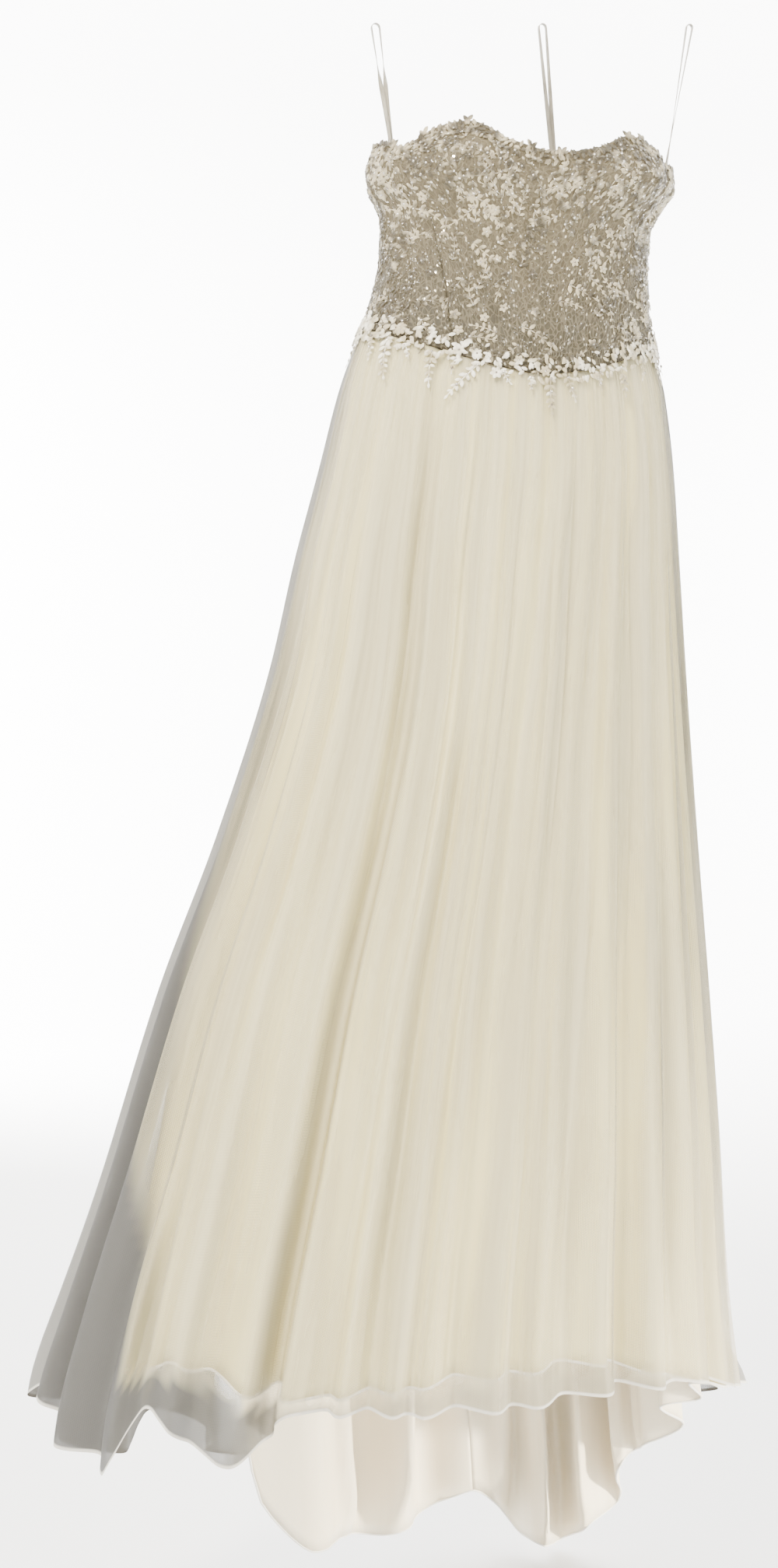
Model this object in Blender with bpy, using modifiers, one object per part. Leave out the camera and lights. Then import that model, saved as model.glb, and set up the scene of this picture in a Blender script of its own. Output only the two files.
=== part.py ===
"""Strapless wedding dress of lace and soft net, hanging empty by its three ribbon hanger loops.

Metres, +Z up, front towards -Y. The origin is the top of the middle hanger loop, where the dress is held.
An angle runs round the dress in degrees: 0 is the centre front, 90 the wearer's left (+X), 180 the back.
"""

import math
from collections import namedtuple

import bpy
from mathutils import Vector

# Cloth and gaps
BODICE_WALL = 0.0022
LACE_WALL = 0.0012
NET_WALL = 0.0010
LINING_WALL = 0.0013
WAIST_GAP = 0.0014
LAY_GAP = 0.0008
PANEL_GAP = 0.0005

# Bodice
CUP_RISE = 0.017
CUP_ANGLE = 34.0
CUP_SPREAD = 21.0
CUP_HEIGHT = -0.188
CUP_TALL = 0.034
FRONT_SEAM_TOP = 63.0
FRONT_SEAM_FOOT = 30.0
SIDE_SEAM = 95.0
PLACKET_HALF = 4.5
BODICE_DROPS = (0.0, 0.05, 0.1, 0.15, 0.22, 0.33, 0.46, 0.6, 0.73, 0.87, 1.0)
PANEL_STEP = 7.0
SEAM_STEP = 1.2

# Lace edging
BORDER_ABOVE_SEAM = 0.022
BORDER_BELOW_SEAM = 0.014
BORDER_STEP = 2.4
BACK_BORDER_STEP = 4.0
SCALLOP = 0.006
SCALLOP_ANGLE = 9.6
NECK_LACE_TALL = 0.021
NECK_LACE_TIP = 0.0035
NECK_LACE_LAY = 0.0009
NECK_LACE_ROWS = 4

# Skirt
FRONT_START = -98.0
BACK_START = 82.0
BACK_FOLDS = 12
FRONT_SAMPLES = 6
BACK_SAMPLES = 4
GATHER = 0.0012
GATHER_FADE = 0.20
FOLD_LIFT = 0.25
SKIRT_DROPS = (0.0, 0.03, 0.08, 0.17, 0.34, 0.60)
HEM_SHARES = (0.5, 1.0)

# Hanger loops
TAPE_WIDE = 0.005
TAPE_WALL = 0.0008
LOOP_SEWN = 0.020
LOOP_CLEAR = 0.004
LOOP_STEPS = 8
TURN_STEPS = 6

# One row for each level: how far the dress reaches from the hanging point to each side, and how far
# the back is shifted towards +X against the front. The front outline leans as the dress hangs.
Level = namedtuple("Level", "height left right front back shift")
LEVELS = [
    Level(-0.10, 0.192, 0.148, 0.088, 0.080, 0.0),
    Level(-0.15, 0.194, 0.151, 0.093, 0.082, 0.0),
    Level(-0.18, 0.202, 0.153, 0.096, 0.083, 0.0),
    Level(-0.20, 0.200, 0.140, 0.093, 0.081, 0.0),
    Level(-0.23, 0.187, 0.125, 0.086, 0.077, 0.0),
    Level(-0.28, 0.189, 0.123, 0.083, 0.076, 0.0),
    Level(-0.32, 0.198, 0.126, 0.087, 0.081, 0.0),
    Level(-0.36, 0.213, 0.132, 0.096, 0.092, 0.0),
    Level(-0.41, 0.231, 0.143, 0.108, 0.110, 0.0),
    Level(-0.50, 0.254, 0.153, 0.124, 0.138, 0.01),
    Level(-0.60, 0.281, 0.159, 0.138, 0.162, 0.03),
    Level(-0.72, 0.309, 0.166, 0.153, 0.188, 0.05),
    Level(-0.90, 0.368, 0.179, 0.174, 0.226, 0.08),
    Level(-1.06, 0.430, 0.192, 0.192, 0.260, 0.11),
    Level(-1.24, 0.487, 0.205, 0.209, 0.296, 0.14),
    Level(-1.38, 0.532, 0.213, 0.220, 0.322, 0.165),
    Level(-1.50, 0.562, 0.224, 0.228, 0.345, 0.185),
    Level(-1.65, 0.575, 0.240, 0.235, 0.368, 0.20),
    Level(-1.80, 0.580, 0.250, 0.240, 0.385, 0.21),
]

# Edges that run round the dress, by angle
Edge = namedtuple("Edge", "angle height")
NECKLINE = [
    Edge(0.0, -0.169),
    Edge(14.0, -0.161),
    Edge(33.0, -0.139),
    Edge(48.0, -0.147),
    Edge(62.0, -0.163),
    Edge(78.0, -0.152),
    Edge(100.0, -0.150),
    Edge(140.0, -0.172),
    Edge(180.0, -0.184),
]
WAIST_SEAM = [
    Edge(0.0, -0.408),
    Edge(12.0, -0.403),
    Edge(45.0, -0.376),
    Edge(90.0, -0.352),
    Edge(180.0, -0.352),
]
NET_HEM = [
    Edge(-180.0, -1.665),
    Edge(-150.0, -1.655),
    Edge(-138.0, -1.620),
    Edge(-130.0, -1.564),
    Edge(-122.0, -1.600),
    Edge(-113.0, -1.562),
    Edge(-105.0, -1.512),
    Edge(-90.0, -1.466),
    Edge(-76.0, -1.506),
    Edge(-63.0, -1.530),
    Edge(-54.0, -1.464),
    Edge(-46.0, -1.494),
    Edge(-40.0, -1.510),
    Edge(-33.0, -1.506),
    Edge(-25.0, -1.462),
    Edge(0.0, -1.470),
    Edge(25.0, -1.468),
    Edge(50.0, -1.482),
    Edge(72.0, -1.510),
    Edge(90.0, -1.530),
    Edge(112.0, -1.575),
    Edge(145.0, -1.640),
    Edge(180.0, -1.665),
]
LINING_HEM = [
    Edge(-180.0, -1.736),
    Edge(-172.0, -1.762),
    Edge(-163.0, -1.774),
    Edge(-156.0, -1.765),
    Edge(-149.0, -1.768),
    Edge(-144.0, -1.700),
    Edge(-140.0, -1.510),
    Edge(-128.0, -1.465),
    Edge(-98.0, -1.425),
    Edge(-85.0, -1.440),
    Edge(-75.0, -1.455),
    Edge(-66.0, -1.478),
    Edge(-60.0, -1.430),
    Edge(-50.0, -1.425),
    Edge(-33.0, -1.452),
    Edge(0.0, -1.440),
    Edge(18.0, -1.436),
    Edge(30.0, -1.448),
    Edge(48.0, -1.478),
    Edge(66.0, -1.502),
    Edge(90.0, -1.530),
    Edge(106.0, -1.585),
    Edge(118.0, -1.640),
    Edge(130.0, -1.668),
    Edge(138.0, -1.712),
    Edge(148.0, -1.776),
    Edge(160.0, -1.812),
    Edge(170.0, -1.800),
    Edge(180.0, -1.736),
]

# A ridge of a soft fold: its angle at the waist and at the hem, and how deep the hollow after it is
Fold = namedtuple("Fold", "waist hem depth")
FRONT_FOLDS = [
    Fold(-98.0, -99.0, 0.026),
    Fold(-85.0, -86.0, 0.020),
    Fold(-74.0, -74.0, 0.028),
    Fold(-62.0, -61.0, 0.014),
    Fold(-52.0, -50.0, 0.020),
    Fold(-42.0, -38.5, 0.044),
    Fold(-30.0, -26.0, 0.012),
    Fold(-21.0, -18.5, 0.018),
    Fold(-11.0, -12.5, 0.010),
    Fold(-1.0, -6.0, 0.022),
    Fold(9.0, 3.5, 0.013),
    Fold(19.0, 12.0, 0.020),
    Fold(29.0, 23.0, 0.026),
    Fold(41.0, 36.0, 0.016),
    Fold(54.0, 50.0, 0.024),
    Fold(68.0, 66.0, 0.016),
]

# Where the loose net kicks out at its hem beyond the lining: angle, spread, level and how far
Kick = namedtuple("Kick", "angle spread height tall out")
KICKS = [
    Kick(103.0, 13.0, -1.56, 0.09, 0.065),
    Kick(-97.0, 16.0, -1.47, 0.10, 0.012),
]

# How far the opaque lining stands inside the net: at the front and right, and more at the left
Room = namedtuple("Room", "height plain left")
ROOMS = [
    Room(-0.34, 0.0036, 0.0),
    Room(-0.45, 0.0060, 0.006),
    Room(-0.70, 0.0075, 0.010),
    Room(-1.00, 0.0085, 0.016),
    Room(-1.20, 0.0090, 0.038),
    Room(-1.40, 0.0095, 0.068),
    Room(-1.50, 0.0100, 0.078),
    Room(-1.80, 0.0100, 0.080),
]
LEFT_ROOM_AT = -103.0
LEFT_ROOM_SPREAD = 42.0

# How deep the folds are at each level, as a share of their depth at the hem
Growth = namedtuple("Growth", "height share")
GROWTHS = [
    Growth(-0.34, 0.04),
    Growth(-0.45, 0.14),
    Growth(-0.60, 0.28),
    Growth(-0.90, 0.52),
    Growth(-1.20, 0.78),
    Growth(-1.50, 1.0),
    Growth(-1.80, 1.12),
]

# Lace sprigs that hang from the border: angle, extra length and half width in degrees
Sprig = namedtuple("Sprig", "angle length half")
SPRIGS = [
    Sprig(-63.0, 0.024, 4.5),
    Sprig(-41.0, 0.024, 4.0),
    Sprig(-30.0, 0.036, 5.5),
    Sprig(-13.0, 0.014, 5.0),
    Sprig(4.0, 0.024, 5.0),
    Sprig(28.0, 0.030, 5.0),
    Sprig(62.0, 0.014, 4.5),
]

# A hanger loop: where it is sewn inside the neckline, how far it stands off the wall there, where its
# top hangs and how wide its turn is
Loop = namedtuple("Loop", "side angle room top_x top_y top_z turn")
LOOPS = [
    Loop("left", -75.0, 0.0018, -0.194, 0.0, -0.020, 0.0086),
    Loop("right", 65.0, 0.0018, 0.179, 0.0, 0.018, 0.0066),
    Loop("back", 156.0, 0.0010, 0.0, 0.0, 0.0, 0.0080),
]

# Colour and roughness of each finish
Finish = namedtuple("Finish", "colour roughness")
FINISHES = {
    "lace": Finish((0.52, 0.47, 0.36), 0.62),
    "white_lace": Finish((0.80, 0.76, 0.68), 0.6),
    "net": Finish((0.62, 0.62, 0.60), 0.75),
    "satin": Finish((0.76, 0.71, 0.62), 0.42),
    "ribbon": Finish((0.60, 0.55, 0.46), 0.4),
}


def table_value(rows, at, column):
    """One column of a table on a smooth curve through its rows, at any place along the first column."""
    down = rows[0][0] > rows[-1][0]
    ordered = rows[::-1] if down else rows
    places = [row[0] for row in ordered]
    values = [getattr(row, column) for row in ordered]
    at = min(max(at, places[0]), places[-1])
    last = len(places) - 1
    i = 0
    while i < last - 1 and at > places[i + 1]:
        i += 1

    def slope(k):
        if k == 0 or k == last:
            return 0.0
        before = (values[k] - values[k - 1]) / (places[k] - places[k - 1])
        after = (values[k + 1] - values[k]) / (places[k + 1] - places[k])
        return 0.0 if before * after <= 0 else 2 * before * after / (before + after)

    span = places[i + 1] - places[i]
    t = (at - places[i]) / span
    rise = values[i + 1] - values[i]
    bend = (1 - t) * (slope(i) * span - rise) - t * (slope(i + 1) * span - rise)
    return values[i] + t * rise + t * (1 - t) * bend


def around(angle):
    """The same angle between -180 and 180 degrees."""
    return (angle + 180.0) % 360.0 - 180.0


def bump(distance, spread):
    return math.exp(-((distance / spread) ** 2))


def out_from(angle):
    turn = math.radians(angle)
    return Vector((math.sin(turn), -math.cos(turn), 0.0))


def dress_point(angle, height, out=0.0):
    """A point of the dress's outer form, moved out by a distance."""
    level = {name: table_value(LEVELS, height, name) for name in Level._fields[1:]}
    turn = math.radians(angle)
    middle = (level["right"] - level["left"]) / 2
    half = (level["right"] + level["left"]) / 2
    ahead = math.cos(turn)
    depth = level["front"] if ahead > 0 else level["back"]
    shift = level["shift"] * max(0.0, -ahead) ** 2
    cups = sum(bump(around(angle - side * CUP_ANGLE), CUP_SPREAD) for side in (-1, 1))
    cups *= CUP_RISE * bump(height - CUP_HEIGHT, CUP_TALL)
    foot = Vector((middle + half * math.sin(turn) + shift, -depth * ahead, height))
    return foot + out_from(angle) * (out + cups)


def neckline(angle):
    return table_value(NECKLINE, abs(around(angle)), "height")


def waist_seam(angle):
    return table_value(WAIST_SEAM, abs(around(angle)), "height")


def open_sheet(name, columns):
    """An open surface through columns of points, which run round the dress and down."""
    tall = len(columns[0])
    points = [point for column in columns for point in column]
    faces = []
    for i in range(len(columns) - 1):
        for j in range(tall - 1):
            here = i * tall + j
            faces.append((here, here + 1, here + tall + 1, here + tall))
    mesh = bpy.data.meshes.new(name)
    mesh.from_pydata(points, [], faces)
    obj = bpy.data.objects.new(name, mesh)
    dress.objects.link(obj)
    return obj


def wall(obj, thickness, finish, offset=-1.0):
    """Give a sheet its finish and its thickness: inwards from its points at -1, outwards at 1."""
    solid = obj.modifiers.new("Wall", "SOLIDIFY")
    solid.thickness = thickness
    solid.offset = offset
    solid.use_even_offset = True
    obj.data.materials.append(materials[finish])
    obj.data.shade_smooth()
    obj.data.set_sharp_from_angle(angle=math.radians(50))
    return obj


def make_material(name, finish):
    material = bpy.data.materials.new(name)
    material.use_nodes = True
    shader = material.node_tree.nodes["Principled BSDF"]
    shader.inputs["Base Color"].default_value = (*finish.colour, 1.0)
    shader.inputs["Roughness"].default_value = finish.roughness
    shader.inputs["Metallic"].default_value = 0.0
    return material


def spread(first, last, step):
    """Even values from first to last, about a step apart."""
    count = max(1, round(abs(last - first) / step))
    return [first + (last - first) * i / count for i in range(count + 1)]


def seam_angle(distance, angle, height):
    """The angle that a distance takes up round the dress at one place."""
    one_degree = dress_point(angle + 0.5, height) - dress_point(angle - 0.5, height)
    return distance / one_degree.length


def panel(name, top_edges, foot_edges):
    """A bodice panel between two seams, each given by its angle at the top and at the foot."""
    wide = top_edges[1] - top_edges[0]
    shares = [0.0] + spread(SEAM_STEP / wide, 1.0 - SEAM_STEP / wide, PANEL_STEP / wide) + [1.0]
    columns = []
    for across in shares:
        column = []
        for down in BODICE_DROPS:
            start = top_edges[0] + (foot_edges[0] - top_edges[0]) * down
            end = top_edges[1] + (foot_edges[1] - top_edges[1]) * down
            height = neckline(start) + (waist_seam(start) - neckline(start)) * down
            start += seam_angle(PANEL_GAP / 2, start, height)
            end -= seam_angle(PANEL_GAP / 2, end, height)
            angle = start + (end - start) * across
            top = neckline(angle)
            column.append(dress_point(angle, top + (waist_seam(angle) - top) * down))
        columns.append(column)
    return wall(open_sheet(name, columns), BODICE_WALL, "lace")


def build_bodice():
    """Front with moulded cups, curved seams, two sides, two backs and the strip over the closing."""
    top, foot, side = FRONT_SEAM_TOP, FRONT_SEAM_FOOT, SIDE_SEAM
    panel("bodice_front", (-top, top), (-foot, foot))
    panel("bodice_side_left", (-side, -top), (-side, -foot))
    panel("bodice_side_right", (top, side), (foot, side))
    panel("bodice_back_left", (-180.0, -side), (-180.0, -side))
    panel("bodice_back_right", (side, 180.0), (side, 180.0))

    columns = []
    for angle in spread(180.0 - PLACKET_HALF, 180.0 + PLACKET_HALF, 3.0):
        top = neckline(angle)
        foot = waist_seam(angle) + BORDER_ABOVE_SEAM + SCALLOP + 0.001
        heights = spread(top, foot, 0.03)
        columns.append([dress_point(angle, height, LAY_GAP) for height in heights])
    wall(open_sheet("back_placket", columns), LACE_WALL, "lace", offset=1.0)


def scallop(angle, depth):
    return depth * abs(math.sin(math.radians(180.0 * angle / SCALLOP_ANGLE)))


def border_foot(angle):
    """The lower edge of the lace border, with its scallops and sprigs."""
    foot = waist_seam(angle) - BORDER_BELOW_SEAM - scallop(angle, SCALLOP)
    for sprig in SPRIGS:
        away = abs(around(angle - sprig.angle)) / sprig.half
        foot -= sprig.length * max(0.0, 1.0 - away) ** 0.7
    return foot


def build_lace():
    """The scalloped border over the waist seam, front and back, and the lace along the neckline."""
    half_gap = seam_angle(PANEL_GAP / 2, SIDE_SEAM, waist_seam(SIDE_SEAM))
    ranges = {
        "lace_border_front": (-SIDE_SEAM, SIDE_SEAM, BORDER_STEP),
        "lace_border_back": (SIDE_SEAM, 360.0 - SIDE_SEAM, BACK_BORDER_STEP),
    }
    for name, (first, last, step) in ranges.items():
        columns = []
        for angle in spread(first + half_gap, last - half_gap, step):
            top = waist_seam(angle) + BORDER_ABOVE_SEAM + scallop(angle, SCALLOP)
            heights = [top, waist_seam(angle), border_foot(angle)]
            heights.insert(2, (heights[1] + heights[2]) / 2)
            columns.append([dress_point(angle, height, LAY_GAP) for height in heights])
        wall(open_sheet(name, columns), LACE_WALL, "white_lace", offset=1.0)

    columns = []
    for angle in spread(-SIDE_SEAM, SIDE_SEAM, 2.4):
        edge = neckline(angle)
        top = edge + NECK_LACE_TIP - scallop(angle, NECK_LACE_TIP)
        foot = edge - NECK_LACE_TALL - scallop(angle + SCALLOP_ANGLE / 2, SCALLOP)
        heights = [top + (foot - top) * i / NECK_LACE_ROWS for i in range(NECK_LACE_ROWS + 1)]
        columns.append([dress_point(angle, height, NECK_LACE_LAY) for height in heights])
    wall(open_sheet("neckline_lace", columns), LACE_WALL, "white_lace", offset=1.0)


def all_folds():
    """The front folds, then even folds across the hidden back, and the first one again to close the ring."""
    folds = list(FRONT_FOLDS)
    step = (360.0 + FRONT_START - BACK_START) / BACK_FOLDS
    for i in range(BACK_FOLDS):
        sway = 2.0 * math.sin(2.3 * i) if i else 0.0
        angle = BACK_START + i * step + sway
        depth = 0.036 + 0.008 * math.sin(1.7 * i)
        folds.append(Fold(angle, angle, depth))
    first = FRONT_FOLDS[0]
    folds.append(Fold(first.waist + 360.0, first.hem + 360.0, first.depth))
    return folds


def skirt_columns(first_fold, last_fold, samples):
    """Places round the skirt from the hollow after one ridge to the hollow after another."""
    places = []
    for step in range((last_fold - first_fold) * samples + 1):
        along = first_fold + 0.5 + step / samples
        places.append((int(along), along - int(along)))
    return places


def skirt_point(place, height, room_share, gather):
    """A point of the folded skirt: in a hollow by the fold, and inside the net by the lining's room."""
    index, along = place
    here = folds[index % (len(folds) - 1)]
    after = folds[index % (len(folds) - 1) + 1]
    down = min(1.0, max(0.0, (waist_seam(here.waist) - height) / 0.45))
    down = down * down * (3 - 2 * down)
    start = here.waist + (here.hem - here.waist) * down
    end = after.waist + (after.hem - after.waist) * down
    angle = start + (end - start) * along
    hollow = 0.5 - 0.5 * math.cos(2 * math.pi * along)
    inwards = here.depth * table_value(GROWTHS, height, "share") * hollow
    if gather:
        fade = bump(waist_seam(angle) - height, GATHER_FADE)
        inwards += GATHER * fade * math.sin(2 * math.pi * along) ** 2
    left = bump(around(angle - LEFT_ROOM_AT), LEFT_ROOM_SPREAD)
    room = table_value(ROOMS, height, "plain") + left * table_value(ROOMS, height, "left")
    kick = sum(
        kick.out * bump(around(angle - kick.angle), kick.spread) * bump(height - kick.height, kick.tall)
        for kick in KICKS
    )
    return dress_point(angle, height, kick * (1.0 - room_share) - inwards - room * room_share)


def skirt_layer(name, places, hem, room_share, thickness, finish, gather, trim):
    """One layer of the skirt, from just under the bodice to its hem, trimmed clear of its side seams."""
    columns = []
    for number, place in enumerate(places):
        index, along = place
        here = folds[index % (len(folds) - 1)]
        after = folds[index % (len(folds) - 1) + 1]
        angle = here.hem + (after.hem - here.hem) * along
        top_angle = here.waist + (after.waist - here.waist) * along
        top = waist_seam(top_angle) - WAIST_GAP
        hollow = 0.5 - 0.5 * math.cos(2 * math.pi * along)
        foot = table_value(hem, around(angle), "height") + here.depth * FOLD_LIFT * hollow
        heights = [top - drop for drop in SKIRT_DROPS]
        heights += [heights[-1] + (foot - heights[-1]) * share for share in HEM_SHARES]
        column = [skirt_point(place, height, room_share, gather) for height in heights]
        side = 1 if number == 0 else -1 if number == len(places) - 1 else 0
        turn = math.radians(angle)
        aside = Vector((math.cos(turn), math.sin(turn), 0.0)) * trim * side
        columns.append([point + aside for point in column])
    return wall(open_sheet(name, columns), thickness, finish)


def build_skirt():
    """The gathered net over the opaque lining, each cut as a front and a longer back in two halves."""
    front_last = len(FRONT_FOLDS) - 1
    centre_back = front_last + (BACK_FOLDS + 1) // 2 + 1
    halves = {
        "front": (0, front_last, FRONT_SAMPLES),
        "back_right": (front_last, centre_back, BACK_SAMPLES),
        "back_left": (centre_back, len(folds) - 1, BACK_SAMPLES),
    }
    for name, (first, last, samples) in halves.items():
        places = skirt_columns(first, last, samples)
        gather = name == "front"
        skirt_layer(f"net_{name}", places, NET_HEM, 0.0, NET_WALL, "net", gather, PANEL_GAP / 2)
        skirt_layer(f"lining_{name}", places, LINING_HEM, 1.0, LINING_WALL, "satin", False, PANEL_GAP / 2)


def build_loop(loop):
    """A flat tape sewn inside the neckline, up to its turn and down again beside itself."""
    edge = neckline(loop.angle)
    ahead = dress_point(loop.angle + 1.0, edge)
    along_wall = (ahead - dress_point(loop.angle - 1.0, edge)).normalized()
    inwards = Vector((-along_wall.y, along_wall.x, 0.0))
    half = loop.turn / 2
    top = Vector((loop.top_x, loop.top_y, loop.top_z))
    lower, upper = [], []
    strands = []
    for side in (-1, 1):
        depth = BODICE_WALL + loop.room + (TAPE_WALL + LAY_GAP * 2) * (1 + side) / 2
        sewn = dress_point(loop.angle, edge - LOOP_SEWN) + inwards * depth
        brim = dress_point(loop.angle, edge) + inwards * depth
        brim.z += LOOP_CLEAR
        shoulder = top + Vector((side * half, 0.0, -half))
        strand = [sewn] + [brim.lerp(shoulder, i / LOOP_STEPS) for i in range(LOOP_STEPS + 1)]
        strands.append(strand)
    arc = []
    for i in range(1, TURN_STEPS):
        bend = math.pi * i / TURN_STEPS
        arc.append(top + Vector((-half * math.cos(bend), 0.0, half * (math.sin(bend) - 1.0))))
    path = strands[0] + arc + strands[1][::-1]
    reach = abs(top.z - edge)
    for point in path:
        rise = min(1.0, max(0.0, (point.z - edge) / reach))
        wide = along_wall.lerp(Vector((0.0, 1.0, 0.0)), rise)
        wide.normalize()
        lower.append(point - wide * TAPE_WIDE / 2)
        upper.append(point + wide * TAPE_WIDE / 2)
    columns = [[a, b] for a, b in zip(upper, lower)]
    wall(open_sheet(f"hanger_loop_{loop.side}", columns), TAPE_WALL, "ribbon", offset=0.0)


for old in list(bpy.data.objects):
    bpy.data.objects.remove(old, do_unlink=True)

dress = bpy.data.collections.new("wedding_dress")
bpy.context.scene.collection.children.link(dress)
materials = {name: make_material(name, finish) for name, finish in FINISHES.items()}
folds = all_folds()

build_bodice()
build_lace()
build_skirt()
for hanger_loop in LOOPS:
    build_loop(hanger_loop)
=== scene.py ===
# %% [markdown]
# # A strapless wedding dress of lace and soft net
# The dress hangs empty from three ribbon loops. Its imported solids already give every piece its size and
# place. This lesson dresses them: thin cloth shells take the place of the plain solids, lace leaves and
# beads are laid on the bodice, and each cloth gets a finish of its own. All lengths are metres, +Z is up
# and the front looks towards -Y.

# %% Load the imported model
import math
import random
from collections import namedtuple

import bpy
import numpy as np
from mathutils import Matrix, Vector


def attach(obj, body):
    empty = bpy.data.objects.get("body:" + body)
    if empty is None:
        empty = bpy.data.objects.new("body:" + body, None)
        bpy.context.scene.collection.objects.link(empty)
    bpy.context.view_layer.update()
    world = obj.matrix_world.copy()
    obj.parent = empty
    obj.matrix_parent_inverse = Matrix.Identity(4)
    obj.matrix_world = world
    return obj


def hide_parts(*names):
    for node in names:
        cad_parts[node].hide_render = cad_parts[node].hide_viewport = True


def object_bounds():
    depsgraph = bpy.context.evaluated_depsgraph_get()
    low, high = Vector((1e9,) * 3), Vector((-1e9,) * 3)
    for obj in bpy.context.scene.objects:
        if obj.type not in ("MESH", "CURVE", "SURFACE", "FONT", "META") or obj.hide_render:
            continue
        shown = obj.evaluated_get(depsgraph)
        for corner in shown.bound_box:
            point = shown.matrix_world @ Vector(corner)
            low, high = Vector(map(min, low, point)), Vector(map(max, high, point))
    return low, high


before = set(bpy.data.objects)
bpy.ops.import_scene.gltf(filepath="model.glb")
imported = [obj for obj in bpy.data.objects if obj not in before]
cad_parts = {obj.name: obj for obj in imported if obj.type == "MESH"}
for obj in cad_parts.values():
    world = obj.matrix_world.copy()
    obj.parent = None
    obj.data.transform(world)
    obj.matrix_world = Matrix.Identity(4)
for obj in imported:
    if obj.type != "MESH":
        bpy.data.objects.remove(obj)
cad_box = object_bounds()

bpy.ops.object.select_all(action="DESELECT")
print("solids in the frame:", len(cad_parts))

# %% [markdown]
# ## Camera
# The camera stands where the photographer stood: level, a little to the dress's right and two and a half
# metres away. A long lens keeps the skirt's sides straight. The picture is taken as 1000 by 2016 pixels,
# and the hanging point lies near its top edge.

# %% Camera at the photo's angle
PICTURE = (1000, 2016)
HANGING_POINT_AT = (697, 31)
CAMERA_TURN = math.radians(-18.0)
CAMERA_FAR = 2.5
LENS_PIXELS = 2900
SENSOR_TALL = 36.0

pixel = CAMERA_FAR / LENS_PIXELS
aside = (PICTURE[0] / 2 - HANGING_POINT_AT[0]) * pixel
level = (HANGING_POINT_AT[1] - PICTURE[1] / 2) * pixel
ahead = Vector((-math.sin(CAMERA_TURN), math.cos(CAMERA_TURN), 0.0))
across = Vector((math.cos(CAMERA_TURN), math.sin(CAMERA_TURN), 0.0))
bpy.ops.object.camera_add(
    location=across * aside - ahead * CAMERA_FAR + Vector((0.0, 0.0, level)),
    rotation=(math.radians(90.0), 0.0, CAMERA_TURN),
)
camera = bpy.context.object
camera.data.sensor_fit = "VERTICAL"
camera.data.sensor_height = SENSOR_TALL
camera.data.lens = LENS_PIXELS / PICTURE[1] * SENSOR_TALL
bpy.context.scene.camera = camera
print("camera at", [round(x, 3) for x in camera.location], "lens", round(camera.data.lens, 1))

# %% [markdown]
# ## Studio
# White cloth shows its folds only where light falls across it. The main lamp is small and stands high at
# one side, a large weak one fills the shadows, and a narrow one reaches the train. Two strong lamps whiten
# the wall. Floor and wall are one sheet with a rounded corner, which leaves no line behind the dress: a
# plane whose far edge is extruded up and bevelled.

# %% Floor, wall and lights
FLOOR_DROP = 0.012
FLOOR_SIZE = 17.0
WALL_AT = 8.0
WALL_TALL = 6.0
CORNER = 1.8
floor_level = cad_box[0][2] - FLOOR_DROP

bpy.ops.mesh.primitive_plane_add(size=FLOOR_SIZE, location=(0.0, WALL_AT - FLOOR_SIZE / 2, floor_level))
backdrop = bpy.context.object
backdrop.name = backdrop.data.name = "backdrop"
bpy.ops.object.transform_apply(location=True)
for edge in backdrop.data.edges:
    edge.select = all(backdrop.data.vertices[i].co.y > WALL_AT - 0.01 for i in edge.vertices)
for vertex in backdrop.data.vertices:
    vertex.select = vertex.co.y > WALL_AT - 0.01
bpy.ops.object.mode_set(mode="EDIT")
bpy.ops.mesh.select_mode(type="EDGE")
bpy.ops.mesh.extrude_region_move(TRANSFORM_OT_translate={"value": (0.0, 0.0, WALL_TALL)})
bpy.ops.object.mode_set(mode="OBJECT")
for edge in backdrop.data.edges:
    ends = [backdrop.data.vertices[i].co for i in edge.vertices]
    edge.select = all(end.y > WALL_AT - 0.01 and end.z < floor_level + 0.01 for end in ends)
bpy.ops.object.mode_set(mode="EDIT")
bpy.ops.mesh.bevel(offset=CORNER, segments=16, affect="EDGES")
bpy.ops.object.mode_set(mode="OBJECT")
bpy.ops.object.shade_smooth()

Lamp = namedtuple("Lamp", "name place aim size power spread color")
WARM = (1.0, 0.92, 0.77)
WHITE = (1.0, 1.0, 1.0)
LAMPS = [
    Lamp("main_light", (-2.2, -2.4, 1.6), (0.0, 0.0, -0.7), 0.6, 330.0, 180.0, WARM),
    Lamp("fill_light", (2.4, -2.6, 0.4), (0.0, 0.0, -1.0), 2.2, 56.0, 180.0, WARM),
    Lamp("low_light", (2.0, -1.25, -1.60), (0.05, 0.25, -1.84), 0.25, 16.0, 45.0, WARM),
    Lamp("right_wall_light", (6.2, 5.2, 0.6), (2.5, 8.2, 0.0), 1.8, 1500.0, 180.0, WHITE),
    Lamp("left_wall_light", (-1.4, 5.2, 0.6), (1.9, 8.2, 0.0), 1.8, 1500.0, 180.0, WHITE),
]
for lamp in LAMPS:
    bpy.ops.object.light_add(type="AREA", location=lamp.place)
    light = bpy.context.object
    light.name = light.data.name = lamp.name
    light.data.size = lamp.size
    light.data.energy = lamp.power
    light.data.spread = math.radians(lamp.spread)
    light.data.color = lamp.color
    light.rotation_euler = (Vector(lamp.aim) - Vector(lamp.place)).to_track_quat("-Z", "Y").to_euler()

AIR_LIGHT = 1.0
world = bpy.data.worlds.new("studio_air")
world.use_nodes = True
world.node_tree.nodes["Background"].inputs["Color"].default_value = (1.0, 0.97, 0.91, 1.0)
world.node_tree.nodes["Background"].inputs["Strength"].default_value = AIR_LIGHT
bpy.context.scene.world = world
print("floor at", round(floor_level, 3), "with", len(LAMPS), "lamps")

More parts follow.
